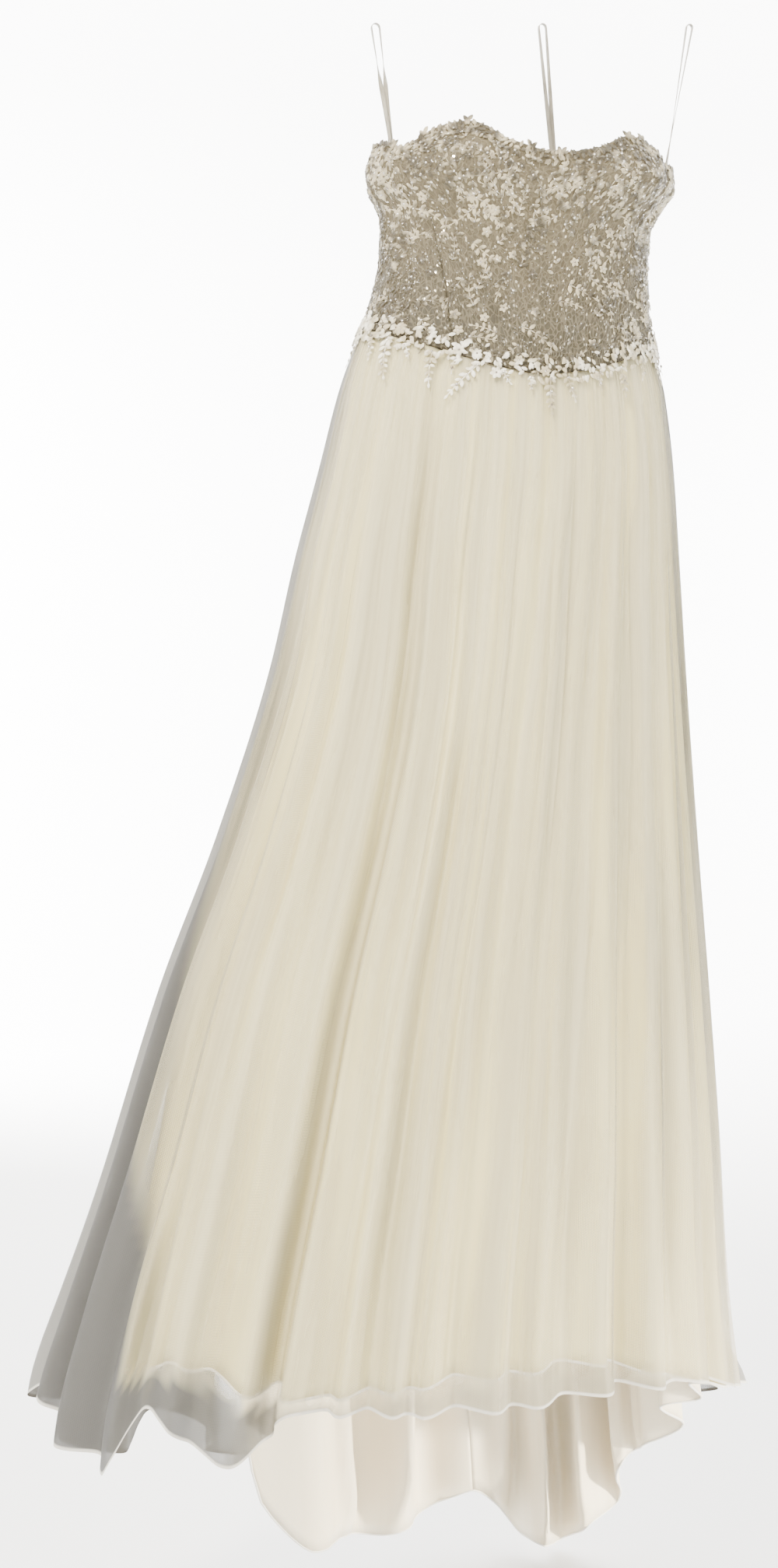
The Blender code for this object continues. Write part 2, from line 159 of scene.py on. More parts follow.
# %% [markdown]
# ## The dress's form
# A dressmaker's dummy would give the dress its shape. Here a table does: for some heights it says how far
# the dress reaches to each side, to the front and to the back. These are the same sizes that the solids
# have, so each shell lies exactly where its solid lies. A smooth curve that never overshoots runs through
# each column.

# %% Levels of the form
Level = namedtuple("Level", "height left right front back shift")
LEVELS = [Level(*row) for row in (
    (-0.10, 0.192, 0.148, 0.088, 0.080, 0.0), (-0.15, 0.194, 0.151, 0.093, 0.082, 0.0),
    (-0.18, 0.202, 0.153, 0.096, 0.083, 0.0), (-0.20, 0.200, 0.140, 0.093, 0.081, 0.0),
    (-0.23, 0.187, 0.125, 0.086, 0.077, 0.0), (-0.28, 0.189, 0.123, 0.083, 0.076, 0.0),
    (-0.32, 0.198, 0.126, 0.087, 0.081, 0.0), (-0.36, 0.213, 0.132, 0.096, 0.092, 0.0),
    (-0.41, 0.231, 0.143, 0.108, 0.110, 0.0), (-0.50, 0.254, 0.153, 0.124, 0.138, 0.01),
    (-0.60, 0.281, 0.159, 0.138, 0.162, 0.03), (-0.72, 0.309, 0.166, 0.153, 0.188, 0.05),
    (-0.90, 0.368, 0.179, 0.174, 0.226, 0.08), (-1.06, 0.430, 0.192, 0.192, 0.260, 0.11),
    (-1.24, 0.487, 0.205, 0.209, 0.296, 0.14), (-1.38, 0.532, 0.213, 0.220, 0.322, 0.165),
    (-1.50, 0.562, 0.224, 0.228, 0.345, 0.185), (-1.65, 0.575, 0.240, 0.235, 0.368, 0.20),
    (-1.80, 0.580, 0.250, 0.240, 0.385, 0.21),
)]
CUP_RISE = 0.017
CUP_ANGLE = 34.0
CUP_SPREAD = 21.0
CUP_HEIGHT = -0.188
CUP_TALL = 0.034


def along_table(rows, at, column):
    """One column of a table, on a smooth curve through its rows. The place may be an array."""
    rows = sorted(rows)
    places = np.array([row[0] for row in rows])
    values = np.array([getattr(row, column) for row in rows])
    spans = np.diff(places)
    slopes = np.diff(values) / spans
    both = slopes[:-1] * slopes[1:]
    total = np.where(both > 0, slopes[:-1] + slopes[1:], 1.0)
    bends = np.concatenate([[0.0], np.where(both > 0, 2 * both / total, 0.0), [0.0]])
    at = np.clip(at, places[0], places[-1])
    i = np.clip(np.searchsorted(places, at, side="right") - 1, 0, len(spans) - 1)
    t = (at - places[i]) / spans[i]
    rise = slopes[i] * spans[i]
    bend = (1 - t) * (bends[i] * spans[i] - rise) - t * (bends[i + 1] * spans[i] - rise)
    return values[i] + t * rise + t * (1 - t) * bend


def around(angle):
    """The same angle between -180 and 180 degrees."""
    return (np.asarray(angle) + 180.0) % 360.0 - 180.0


def bump(distance, spread):
    return np.exp(-((distance / spread) ** 2))


def soft_step(at):
    """From 0 to 1 with soft ends."""
    at = np.clip(at, 0.0, 1.0)
    return at * at * (3 - 2 * at)


def dress_point(angle, height, out=0.0):
    """Points of the dress's outer form: 0 degrees is the centre front, 90 the wearer's left (+X)."""
    left, right, front, back, shift = [along_table(LEVELS, height, name) for name in Level._fields[1:]]
    turn = np.radians(angle)
    ahead = np.cos(turn)
    cups = sum(bump(around(angle - side * CUP_ANGLE), CUP_SPREAD) for side in (-1, 1))
    reach = out + cups * CUP_RISE * bump(height - CUP_HEIGHT, CUP_TALL)
    x = (right - left) / 2 + ((right + left) / 2 + reach) * np.sin(turn)
    x = x + shift * np.maximum(0.0, -ahead) ** 2
    y = -(np.where(ahead > 0, front, back) + reach) * ahead
    return np.stack([x, y, height + 0 * x], axis=-1)


def degree_length(angle, height):
    """How many metres one degree takes up round the dress."""
    step = dress_point(angle + 0.5, height) - dress_point(angle - 0.5, height)
    return np.linalg.norm(step, axis=-1)


print("bust at the cups, metres round:", round(float(degree_length(np.arange(360.0), -0.19).sum()), 2))

# %% [markdown]
# ## Edges
# The sweetheart neckline, the waist seam and the two hems all run round the dress, so each is a height for
# some angles. The net's hem is higher at the front and waves where the net hangs loose, and the lining's
# hem drops far down at the back and makes the short train.

# %% Edge tables
Edge = namedtuple("Edge", "angle height")
NECKLINE = [Edge(*row) for row in (
    (0.0, -0.169), (14.0, -0.161), (33.0, -0.139), (48.0, -0.147), (62.0, -0.163), (78.0, -0.152),
    (100.0, -0.150), (140.0, -0.172), (180.0, -0.184),
)]
WAIST_SEAM = [Edge(*row) for row in (
    (0.0, -0.408), (12.0, -0.403), (45.0, -0.376), (90.0, -0.352), (180.0, -0.352),
)]
NET_HEM = [Edge(*row) for row in (
    (-180.0, -1.665), (-150.0, -1.655), (-138.0, -1.620), (-130.0, -1.564), (-122.0, -1.600),
    (-113.0, -1.562), (-105.0, -1.512), (-90.0, -1.466), (-76.0, -1.506), (-63.0, -1.530), (-54.0, -1.464),
    (-46.0, -1.494), (-40.0, -1.510), (-33.0, -1.506), (-25.0, -1.462), (0.0, -1.470), (25.0, -1.468),
    (50.0, -1.482), (72.0, -1.510), (90.0, -1.530), (112.0, -1.575), (145.0, -1.640), (180.0, -1.665),
)]
LINING_HEM = [Edge(*row) for row in (
    (-180.0, -1.736), (-172.0, -1.762), (-163.0, -1.774), (-156.0, -1.765), (-149.0, -1.768),
    (-144.0, -1.700), (-140.0, -1.510), (-128.0, -1.465), (-98.0, -1.425), (-85.0, -1.440), (-75.0, -1.455),
    (-66.0, -1.478), (-60.0, -1.430), (-50.0, -1.425), (-33.0, -1.452), (0.0, -1.440), (18.0, -1.436),
    (30.0, -1.448), (48.0, -1.478), (66.0, -1.502), (90.0, -1.530), (106.0, -1.585), (118.0, -1.640),
    (130.0, -1.668), (138.0, -1.712), (148.0, -1.776), (160.0, -1.812), (170.0, -1.800), (180.0, -1.736),
)]


def neckline(angle):
    return along_table(NECKLINE, np.abs(around(angle)), "height")


def waist_seam(angle):
    return along_table(WAIST_SEAM, np.abs(around(angle)), "height")


print("rows in the edge tables:", len(NECKLINE) + len(WAIST_SEAM) + len(NET_HEM) + len(LINING_HEM))

# %% [markdown]
# ## Folds of the skirt
# The skirt's cloth is far wider than the waist, so it falls in soft folds. A row gives a ridge: its angle
# at the waist and at the hem, how deep the hollow after it is at the hem, and how far the ridge leans aside
# there. The front ridges follow the photo from left to right, and even ones fill the hidden back. Net and
# lining share them, and the lining stands inside by a little room.

# %% Fold tables
Fold = namedtuple("Fold", "waist hem depth lean")
FRONT_FOLDS = [Fold(*row) for row in (
    (-98.0, -99.0, 0.026, 0.000), (-85.0, -86.0, 0.020, 0.006), (-74.0, -74.0, 0.028, -0.008),
    (-62.0, -61.0, 0.014, 0.006), (-52.0, -50.0, 0.020, 0.010), (-42.0, -38.5, 0.044, 0.014),
    (-30.0, -26.0, 0.012, -0.016), (-21.0, -18.5, 0.018, -0.008), (-11.0, -12.5, 0.010, 0.004),
    (-1.0, -6.0, 0.022, -0.006), (9.0, 3.5, 0.013, 0.006), (19.0, 12.0, 0.020, -0.006),
    (29.0, 23.0, 0.026, 0.008), (41.0, 36.0, 0.016, -0.004), (54.0, 50.0, 0.024, 0.006),
    (68.0, 66.0, 0.016, -0.004),
)]
BACK_START = 82.0
BACK_FOLDS = 12
BACK_SWAY, BACK_DEPTH, BACK_UNEVEN, BACK_LEAN = 2.0, 0.036, 0.008, 0.012
Growth = namedtuple("Growth", "height share")
GROWTHS = [Growth(*row) for row in (
    (-0.34, 0.04), (-0.45, 0.14), (-0.60, 0.28), (-0.90, 0.52), (-1.20, 0.78), (-1.50, 1.0), (-1.80, 1.12),
)]
Room = namedtuple("Room", "height plain left")
ROOMS = [Room(*row) for row in (
    (-0.34, 0.0036, 0.0), (-0.45, 0.0060, 0.006), (-0.70, 0.0075, 0.010), (-1.00, 0.0085, 0.016),
    (-1.20, 0.0090, 0.038), (-1.40, 0.0095, 0.068), (-1.50, 0.0100, 0.078), (-1.80, 0.0100, 0.080),
)]
LEFT_ROOM_AT = -103.0
LEFT_ROOM_SPREAD = 42.0
Kick = namedtuple("Kick", "angle spread height tall out")
KICKS = [
    Kick(103.0, 13.0, -1.56, 0.09, 0.065),
    Kick(-97.0, 16.0, -1.47, 0.10, 0.012),
]
FOLD_LIFT = 0.25
WAIST_GAP = 0.0014
TURN_LENGTH = 0.45


def all_folds():
    """The front folds, even ones across the back, and the first one again to close the ring."""
    folds = list(FRONT_FOLDS)
    step = (360.0 + FRONT_FOLDS[0].waist - BACK_START) / BACK_FOLDS
    for i in range(BACK_FOLDS):
        angle = BACK_START + i * step + (BACK_SWAY * math.sin(2.3 * i) if i else 0.0)
        depth = BACK_DEPTH + BACK_UNEVEN * math.sin(1.7 * i)
        folds.append(Fold(angle, angle, depth, BACK_LEAN * math.sin(2.9 * i)))
    first = FRONT_FOLDS[0]
    return folds + [first._replace(waist=first.waist + 360.0, hem=first.hem + 360.0)]


folds = all_folds()
fold_rows = np.array(folds)
print("folds round the skirt:", len(folds) - 1)

# %% [markdown]
# ## A point of the skirt
# A place round the skirt is counted in folds: 3.5 is the hollow after the fourth ridge. The fine form comes
# on top of the folds: small uneven gathers at the waist, which merge into longer ripples further down.
# Sines of unlike length, whose phase drifts, give them with no two alike. Net and lining share the ripples,
# and the gathers are the net's own.

# %% Skirt form
GATHER_FADE, GATHER_START = 0.11, 0.012
GATHER_DEPTH, GATHER_FINE = 0.0011, 0.0004
Ripple = namedtuple("Ripple", "pitch depth top foot drift")
RIPPLES = [
    Ripple(3.1, 0.0004, 0.03, 0.60, 0.7),
    Ripple(5.7, 0.0008, 0.10, 1.00, 0.9),
    Ripple(11.3, 0.0020, 0.30, 1.40, 1.6),
]


def fold_at(place):
    """Angle at the waist and at the hem, hollow depth, leans of both ridges, and the way along the fold."""
    ring = len(folds) - 1
    index = np.floor(place).astype(int) % ring
    along = place - np.floor(place)
    here, after = fold_rows[index], fold_rows[index + 1]
    waist = here[..., 0] + (after[..., 0] - here[..., 0]) * along
    hem = here[..., 1] + (after[..., 1] - here[..., 1]) * along
    lean = np.where(along < 0.5, here[..., 3], after[..., 3]) * np.cos(math.pi * along) ** 2
    return waist, hem, here[..., 2], lean, along


def hollow_share(along):
    return 0.5 - 0.5 * np.cos(2 * math.pi * along)


def ripples(angle, drop):
    """How far the small ripples stand out, from the angle and the distance below the waist."""
    total = 0.0
    for number, ripple in enumerate(RIPPLES):
        grown = soft_step(drop / max(ripple.top, 0.01)) * (0.35 + 0.65 * soft_step(drop / ripple.foot))
        sway = 1.3 * np.sin(angle * 0.13 + number) + ripple.drift * np.sin(2.2 * drop + number * 2.0)
        strength = 0.6 + 0.4 * np.sin(angle * 0.31 + number * 1.7)
        total = total + ripple.depth * grown * strength * np.sin(2 * math.pi * angle / ripple.pitch + sway)
    return total


def gathers(angle, drop):
    """The uneven gathers sewn into the waist seam, which fade below it."""
    fine = np.sin(2 * math.pi * angle / 2.3 + 2.4 * np.sin(angle * 0.37))
    finer = np.sin(2 * math.pi * angle / 1.37 + 2.8 * np.sin(angle * 0.23 + 1.0))
    tight = 0.55 + 0.45 * np.sin(angle * 0.29 + 1.5 * np.sin(angle * 0.11))
    reach = GATHER_FADE * (0.6 + 0.5 * np.sin(angle * 0.47) ** 2)
    deep = GATHER_DEPTH * fine + GATHER_FINE * finer
    return tight * deep * np.exp(-drop / reach) * soft_step(drop / GATHER_START)


def kicked(angle, height):
    """How far the cloth kicks out at a few places low down."""
    total = 0.0
    for kick in KICKS:
        near = bump(around(angle - kick.angle), kick.spread)
        total = total + kick.out * near * bump(height - kick.height, kick.tall)
    return total


def skirt_point(place, height, room_share, own=0.0):
    """Points of the folded skirt; the lining stands inside the net by its room."""
    waist, hem, depth, lean, along = fold_at(place)
    drop = np.maximum(0.0, waist_seam(waist) - height)
    angle = waist + (hem - waist) * soft_step(drop / TURN_LENGTH)
    growth = along_table(GROWTHS, height, "share")
    inwards = depth * growth * hollow_share(along)
    left = bump(around(angle - LEFT_ROOM_AT), LEFT_ROOM_SPREAD)
    room = along_table(ROOMS, height, "plain") + left * along_table(ROOMS, height, "left")
    kick = kicked(angle, height) * (1.0 - room_share)
    out = kick - inwards - room * room_share + ripples(angle, drop) + own
    points = dress_point(angle, height, out)
    turn = np.radians(angle)
    points[..., 0] += np.cos(turn) * lean * growth
    points[..., 1] += np.sin(turn) * lean * growth
    return points


print("net at the waist, front:", np.round(skirt_point(np.array([9.0]), np.array([-0.45]), 0.0)[0], 3))

# %% [markdown]
# ## Creases
# Besides its folds the cloth has creases from hanging and handling. Each is a soft trough along a line from
# one point to another, and no two are alike in length, width or depth. The ones on the hidden back are of
# the same kind.

# %% Crease table and its troughs
Crease = namedtuple("Crease", "top_angle top foot_angle foot wide depth")
SKIRT_CREASES = [Crease(*row) for row in (
    (-80.0, -0.52, -79.0, -1.44, 1.5, 0.0060), (-68.0, -0.60, -68.0, -1.38, 1.1, 0.0045),
    (-57.0, -0.46, -54.5, -1.10, 0.9, 0.0040), (-49.0, -0.90, -47.0, -1.46, 1.3, 0.0055),
    (-36.5, -0.44, -35.0, -0.98, 0.9, 0.0040), (-27.0, -0.80, -24.0, -1.42, 1.0, 0.0050),
    (-19.5, -0.42, -20.0, -1.08, 0.7, 0.0035), (-15.0, -0.70, -16.0, -1.45, 1.1, 0.0050),
    (-4.0, -0.44, -9.0, -1.36, 0.9, 0.0045), (6.0, -0.52, 0.5, -1.20, 0.8, 0.0040),
    (13.0, -0.43, 8.0, -1.02, 0.7, 0.0035), (24.0, -0.60, 16.5, -1.46, 1.2, 0.0055),
    (36.0, -0.42, 31.0, -1.16, 0.9, 0.0040), (46.0, -0.74, 42.5, -1.44, 1.4, 0.0055),
    (62.0, -0.50, 59.0, -1.24, 1.1, 0.0045), (74.0, -0.66, 72.0, -1.50, 1.3, 0.0050),
)]
BACK_CREASES = 14
TRAIN_CREASES = [Crease(*row) for row in (
    (-168.0, -1.40, -164.0, -1.78, 2.1, 0.036), (-154.0, -1.52, -157.0, -1.78, 1.5, 0.028),
    (172.0, -1.46, 176.0, -1.78, 2.2, 0.038), (160.0, -1.50, 163.0, -1.82, 1.6, 0.032),
    (148.0, -1.42, 151.0, -1.80, 2.0, 0.030), (136.0, -1.36, 139.0, -1.74, 2.0, 0.018),
    (124.0, -1.40, 126.0, -1.68, 1.7, 0.014),
)]


def hidden_creases(count, first, last):
    """Creases like the front ones, spread unevenly across the hidden back."""
    draw = random.Random(11)
    creases = []
    for i in range(count):
        angle = first + (last - first) * (i + 0.3 + 0.4 * draw.random()) / count
        top = -0.44 - 0.4 * draw.random()
        foot = top - 0.45 - 0.45 * draw.random()
        lean = 3.0 * (draw.random() - 0.5)
        wide = 0.9 + 0.7 * draw.random()
        creases.append(Crease(angle, top, angle + lean, foot, wide, 0.0035 + 0.0025 * draw.random()))
    return creases


def troughs(creases, angle, height):
    """How far the creases press the cloth in."""
    total = np.zeros(np.broadcast(angle, height).shape)
    for crease in creases:
        down = (crease.top - height) / (crease.top - crease.foot)
        middle = crease.top_angle + (crease.foot_angle - crease.top_angle) * down
        ends = soft_step(down / 0.25) * soft_step((1.0 - down) / 0.25)
        total -= crease.depth * ends * bump(around(angle - middle), crease.wide)
    return total


skirt_creases = SKIRT_CREASES + hidden_creases(BACK_CREASES, 86.0, 258.0)
print("creases on the skirt:", len(skirt_creases), "and on the train:", len(TRAIN_CREASES))

# %% [markdown]
# ## Cloth sheets
# A sheet of cloth starts as a flat grid, which is also its cut: across is the way round the dress and down
# is the way from top to hem. Each point is then laid on the dress's form. The grid's own UV map stays with
# it, so a weave or a streak follows the cloth and bends with each fold. Solidify gives it a thickness
# inwards.

# %% Lay a grid on the form
cuts = {}


def measure(name, rows):
    """Store the flat size of a laid grid: its hem's width, its longest line down and its area."""
    wide = np.linalg.norm(np.diff(rows[0], axis=0), axis=-1).sum()
    long = np.linalg.norm(np.diff(rows, axis=0), axis=-1).sum(axis=0).max()
    side, down = rows[:-1, 1:] - rows[:-1, :-1], rows[1:, :-1] - rows[:-1, :-1]
    area = np.linalg.norm(np.cross(side, down), axis=-1).sum()
    cuts[name] = (round(float(wide), 3), round(float(long), 3), round(float(area), 4))
    print(name, "is cut", cuts[name][0], "by", cuts[name][1], "m,", cuts[name][2], "square metres")


def cloth(name, across, down, lay, share=None):
    """A grid of cloth whose points the lay function places, from shares across and down."""
    bpy.ops.object.select_all(action="DESELECT")
    bpy.ops.mesh.primitive_grid_add(x_subdivisions=across, y_subdivisions=down, size=1.0)
    sheet = bpy.context.object
    sheet.name = sheet.data.name = name
    flat = np.empty(len(sheet.data.vertices) * 3, np.float32)
    sheet.data.vertices.foreach_get("co", flat)
    flat = flat.reshape(-1, 3)
    u, v = flat[:, 0] + 0.5, 0.5 - flat[:, 1]
    laid = lay(u, v).astype(np.float32)
    sheet.data.vertices.foreach_set("co", laid.ravel())
    if share:
        # The stored share masks the net's painted grey shade and its extra cover.
        stored = sheet.data.attributes.new("apart", "FLOAT", "POINT")
        stored.data.foreach_set("value", share(u, v).astype(np.float32))
    sheet.data.update()
    bpy.ops.object.shade_smooth()
    measure(name, laid.reshape(down + 1, across + 1, 3))
    return sheet


def thicken(piece, thickness):
    """A cloth's own thickness, inwards from its outer side."""
    wall = piece.modifiers.new("Thickness", "SOLIDIFY")
    wall.thickness = thickness
    wall.offset = -1.0
    bpy.context.view_layer.objects.active = piece
    bpy.ops.object.modifier_apply(modifier=wall.name)


def wear(piece, material, slot, *nodes):
    """Give a piece its finish and its place in the frame."""
    piece.data.materials.clear()
    piece.data.materials.append(material)
    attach(piece, "root")
    if nodes:
        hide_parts(*nodes)
    triangles = sum(len(face.vertices) - 2 for face in piece.data.polygons)
    print(piece.name, "has", triangles, "triangles")


print("a sheet is a grid, a laying function and a thickness")

# %% [markdown]
# ## Finishes: helpers and shared effects
# Every finish is a Principled shader fed by procedural nodes. Effects that several cloths share are node
# groups: a fine weave, long soft streaks that run down the cloth, and the six-sided mesh of the net. They
# read the cloth's UV map, stretched to metres, so a thread has its real size.

# %% Node helpers
def feed(tree, made, links):
    """Link a node's inputs to other sockets, or set plain values on them."""
    for name, value in links.items():
        if isinstance(value, bpy.types.NodeSocket):
            tree.links.new(value, made.inputs[name])
        else:
            made.inputs[name].default_value = value


def node(tree, kind, links=None, **settings):
    """A node with its settings and its inputs."""
    made = tree.nodes.new(kind)
    for name, value in settings.items():
        setattr(made, name, value)
    feed(tree, made, links or {})
    return made


def math_node(tree, operation, *values):
    return node(tree, "ShaderNodeMath", dict(enumerate(values)), operation=operation).outputs[0]


def noise(tree, place, scale, detail):
    links = {"Vector": place, "Scale": scale, "Detail": detail}
    return node(tree, "ShaderNodeTexNoise", links).outputs[0]


def blend(tree, share, first, second):
    """A colour between two, by a mask."""
    links = {"Factor": share}
    for place, value in ((6, first), (7, second)):
        links[place] = value if isinstance(value, bpy.types.NodeSocket) else (*value, 1.0)
    return node(tree, "ShaderNodeMix", links, data_type="RGBA").outputs[2]


def masked(tree, value, low, high, to_low=0.0, to_high=1.0):
    """A value from one range put on another, and held at its ends."""
    links = {"Value": value, "From Min": low, "From Max": high, "To Min": to_low, "To Max": to_high}
    return node(tree, "ShaderNodeMapRange", links, clamp=True).outputs["Result"]


def group(name, inputs, outputs):
    """An empty node group with named sockets, and its input and output nodes."""
    tree = bpy.data.node_groups.new(name, "ShaderNodeTree")
    for socket, kind in inputs.items():
        tree.interface.new_socket(name=socket, in_out="INPUT", socket_type=kind)
    for socket, kind in outputs.items():
        tree.interface.new_socket(name=socket, in_out="OUTPUT", socket_type=kind)
    return tree, tree.nodes.new("NodeGroupInput"), tree.nodes.new("NodeGroupOutput")


FLOAT = "NodeSocketFloat"
VECTOR = "NodeSocketVector"

def start(name):
    """A new material, its node tree and its shader."""
    material = bpy.data.materials.new(name)
    material.use_nodes = True
    return material, material.node_tree, material.node_tree.nodes["Principled BSDF"]


paper, paper_tree, paper_shader = start("backdrop_paper")
grain = node(paper_tree, "ShaderNodeTexNoise", {"Scale": 3.0, "Detail": 4.0})
tone = blend(paper_tree, grain.outputs[0], (0.90, 0.90, 0.90), (0.94, 0.94, 0.935))
feed(paper_tree, paper_shader, {"Base Color": tone, "Roughness": 0.9})
backdrop.data.materials.append(paper)
print("node helpers are ready, and the backdrop has its paper finish")

# %% Weave, streaks and net mesh
def make_weave():
    """Threads over and under each other: a height for a bump."""
    tree, given, out = group("weave", {"Vector": VECTOR, "Pitch": FLOAT}, {"Height": FLOAT})
    split = node(tree, "ShaderNodeSeparateXYZ", {0: given.outputs["Vector"]})
    waves = []
    for axis in ("X", "Y"):
        turns = math_node(tree, "DIVIDE", split.outputs[axis], given.outputs["Pitch"])
        waves.append(math_node(tree, "SINE", math_node(tree, "MULTIPLY", turns, 2 * math.pi)))
    feed(tree, out, {"Height": math_node(tree, "MULTIPLY", *waves)})
    return tree


def make_streaks():
    """Long soft streaks down the cloth, a mask from 0 to 1."""
    tree, given, out = group("streaks", {"Vector": VECTOR, "Wide": FLOAT}, {"Mask": FLOAT})
    wide = math_node(tree, "DIVIDE", 1.0, given.outputs["Wide"])
    long = math_node(tree, "MULTIPLY", wide, 0.06)
    scale = node(tree, "ShaderNodeCombineXYZ", {"X": wide, "Y": long, "Z": 1.0})
    links = {0: given.outputs["Vector"], 1: scale.outputs[0]}
    place = node(tree, "ShaderNodeVectorMath", links, operation="MULTIPLY")
    feed(tree, out, {"Mask": masked(tree, noise(tree, place.outputs[0], 1.0, 3.0), 0.34, 0.66)})
    return tree


def make_net_mesh():
    """The net's six-sided holes, from three waves that cross: 1 on a thread and 0 in a hole."""
    tree, given, out = group("net_mesh", {"Vector": VECTOR, "Pitch": FLOAT}, {"Thread": FLOAT})
    total = 0.0
    for step in range(3):
        turn = math.radians(60.0 * step)
        links = {0: given.outputs["Vector"], 1: (math.cos(turn), math.sin(turn), 0.0)}
        along = node(tree, "ShaderNodeVectorMath", links, operation="DOT_PRODUCT")
        turns = math_node(tree, "DIVIDE", along.outputs["Value"], given.outputs["Pitch"])
        wave = math_node(tree, "COSINE", math_node(tree, "MULTIPLY", turns, 2 * math.pi))
        total = math_node(tree, "ADD", total, wave)
    feed(tree, out, {"Thread": masked(tree, total, 0.4, -0.7)})
    return tree


weave, streaks, net_mesh = make_weave(), make_streaks(), make_net_mesh()
print("shared effects:", [tree.name for tree in (weave, streaks, net_mesh)])


# %% Start of a finish
def finish(name, flat):
    """A new material, its shader, and the cloth's UV map stretched to its flat size in metres."""
    material, tree, shader = start(name)
    source = node(tree, "ShaderNodeTexCoord")
    sized = node(tree, "ShaderNodeMapping", {"Vector": source.outputs["UV"], "Scale": (*flat, 1.0)})
    return material, tree, shader, sized.outputs[0]


def use(tree, effect, **links):
    """A shared effect placed in a material."""
    return node(tree, "ShaderNodeGroup", links, node_tree=effect)


def roughen(tree, shader, height, strength, distance):
    """Feed a height to the shader as a bump."""
    links = {"Height": height, "Strength": strength, "Distance": distance}
    feed(tree, shader, {"Normal": node(tree, "ShaderNodeBump", links).outputs[0]})


print("a finish starts from a Principled shader and the cloth's own UV map")

# %% [markdown]
# ## Satin
# The lining is a warm ivory satin. It is smooth enough for a soft gloss, its weave is too fine to see but
# softens the light, and faint streaks of warmer and cooler ivory run down it where the folds have rubbed.

# %% Satin finish
def make_satin(name, flat, light, shade, roughness):
    material, tree, shader, sized = finish(name, flat)
    streak = use(tree, streaks, Vector=sized, Wide=0.035).outputs[0]
    mixed = math_node(tree, "MULTIPLY", streak, noise(tree, sized, 9.0, 2.0))
    tone = blend(tree, masked(tree, mixed, 0.1, 0.6), light, shade)
    feed(tree, shader, {"Base Color": tone, "Roughness": roughness})
    feed(tree, shader, {"Sheen Weight": 0.25, "Sheen Roughness": 0.4})
    threads = math_node(tree, "MULTIPLY", use(tree, weave, Vector=sized, Pitch=0.0006).outputs[0], 0.05)
    height = math_node(tree, "ADD", noise(tree, sized, 55.0, 3.0), threads)
    roughen(tree, shader, height, 0.25, 0.002)
    return material


IVORY = ((0.92, 0.82, 0.42), (0.80, 0.69, 0.31))
TRAIN_IVORY = ((0.96, 0.87, 0.68), (0.88, 0.78, 0.58))
print("the satin is made for each sheet, from its flat size and two tones")

# %% [markdown]
# ## Net
# Soft net is mostly holes. One layer lets most of the light through, and two or three look almost solid.
# The threads have their real size, and streaks make the cloth denser in places, as gathered net is. Where
# it hangs apart from the lining it has more cover and a painted grey shade in its colour, by a share stored
# on its points. The inner side lies in the skirt's shade, which is painted into its colour as a darker
# tone.

# %% Net finish
NET_PITCH = 0.0013
NET_EDGE = (0.60, 0.58, 0.52)


def make_net(name, flat, thin, thick, outer, apart_painted_shade, inner_painted_shade):
    """Net with more cover and a painted grey shade where it hangs apart from the lining, and painted shade
    on its inner side.
    """
    material, tree, shader, sized = finish(name, flat)
    apart = node(tree, "ShaderNodeAttribute", attribute_name="apart").outputs["Fac"]
    thread = use(tree, net_mesh, Vector=sized, Pitch=NET_PITCH).outputs[0]
    streak = use(tree, streaks, Vector=sized, Wide=0.034).outputs[0]
    height = node(tree, "ShaderNodeSeparateXYZ", {0: sized}).outputs["Y"]
    edge = masked(tree, height, 0.0040, 0.0020)
    cover = masked(tree, streak, 0.0, 1.0, *thin)
    dense = math_node(tree, "SUBTRACT", masked(tree, streak, 0.0, 1.0, *thick), cover)
    for mask, share in ((apart, dense), (thread, 0.12), (edge, 0.40)):
        cover = math_node(tree, "ADD", cover, math_node(tree, "MULTIPLY", mask, share))
    # The inner side, seen through the front, gets a darker colour: painted shade.
    side = node(tree, "ShaderNodeNewGeometry").outputs["Backfacing"]
    # Where the net hangs apart, the colour of its front side turns to a painted grey shade.
    outer_tone_with_painted_shade = blend(tree, edge, blend(tree, apart, outer, apart_painted_shade), NET_EDGE)
    cover = math_node(tree, "MINIMUM", cover, 1.0)
    feed(tree, shader, {"Alpha": cover, "Base Color": blend(tree, side, outer_tone_with_painted_shade, inner_painted_shade), "Roughness": 0.75})
    return material


print("the net is made for each sheet, like the satin")

# %% [markdown]
# ## Lining of the skirt
# The lining is one tube of satin, cut as a front and two longer back halves. Each runs from the hollow
# after one ridge to the hollow after another, like its solid. Its hem is rolled: a thin round cord of
# cloth, which the photo shows as a bright line. The roll is a curve along the hem, given a round section.

# %% Lay the lining
SEAM_GAP = 0.00004
SATIN_THICK = 0.0010
ROLL_THICK = 0.0016
ROWS_LOW = 1.12
LINING_CREASED = 1.2
FRONT_LAST = len(FRONT_FOLDS) - 1
CENTRE_BACK = FRONT_LAST + (BACK_FOLDS + 1) // 2 + 1
SKIRT_PIECES = {
    "front": (0, FRONT_LAST),
    "back_right": (FRONT_LAST, CENTRE_BACK),
    "back_left": (CENTRE_BACK, len(folds) - 1),
}


def skirt_place(ends, hem, u, v):
    """Where shares across and down a skirt piece lie: fold, hem angle, height, angle and drop."""
    place = ends[0] + 0.5 + np.clip(u, 1e-6, 1.0 - 1e-6) * (ends[1] - ends[0])
    waist, hem_angle, depth, _, along = fold_at(place)
    seam = waist_seam(waist)
    foot = along_table(hem, around(hem_angle), "height") + depth * FOLD_LIFT * hollow_share(along)
    height = seam - WAIST_GAP + (foot - (seam - WAIST_GAP)) * v**ROWS_LOW
    angle = waist + (hem_angle - waist) * soft_step((seam - height) / TURN_LENGTH)
    return place, hem_angle, height, angle, seam - height


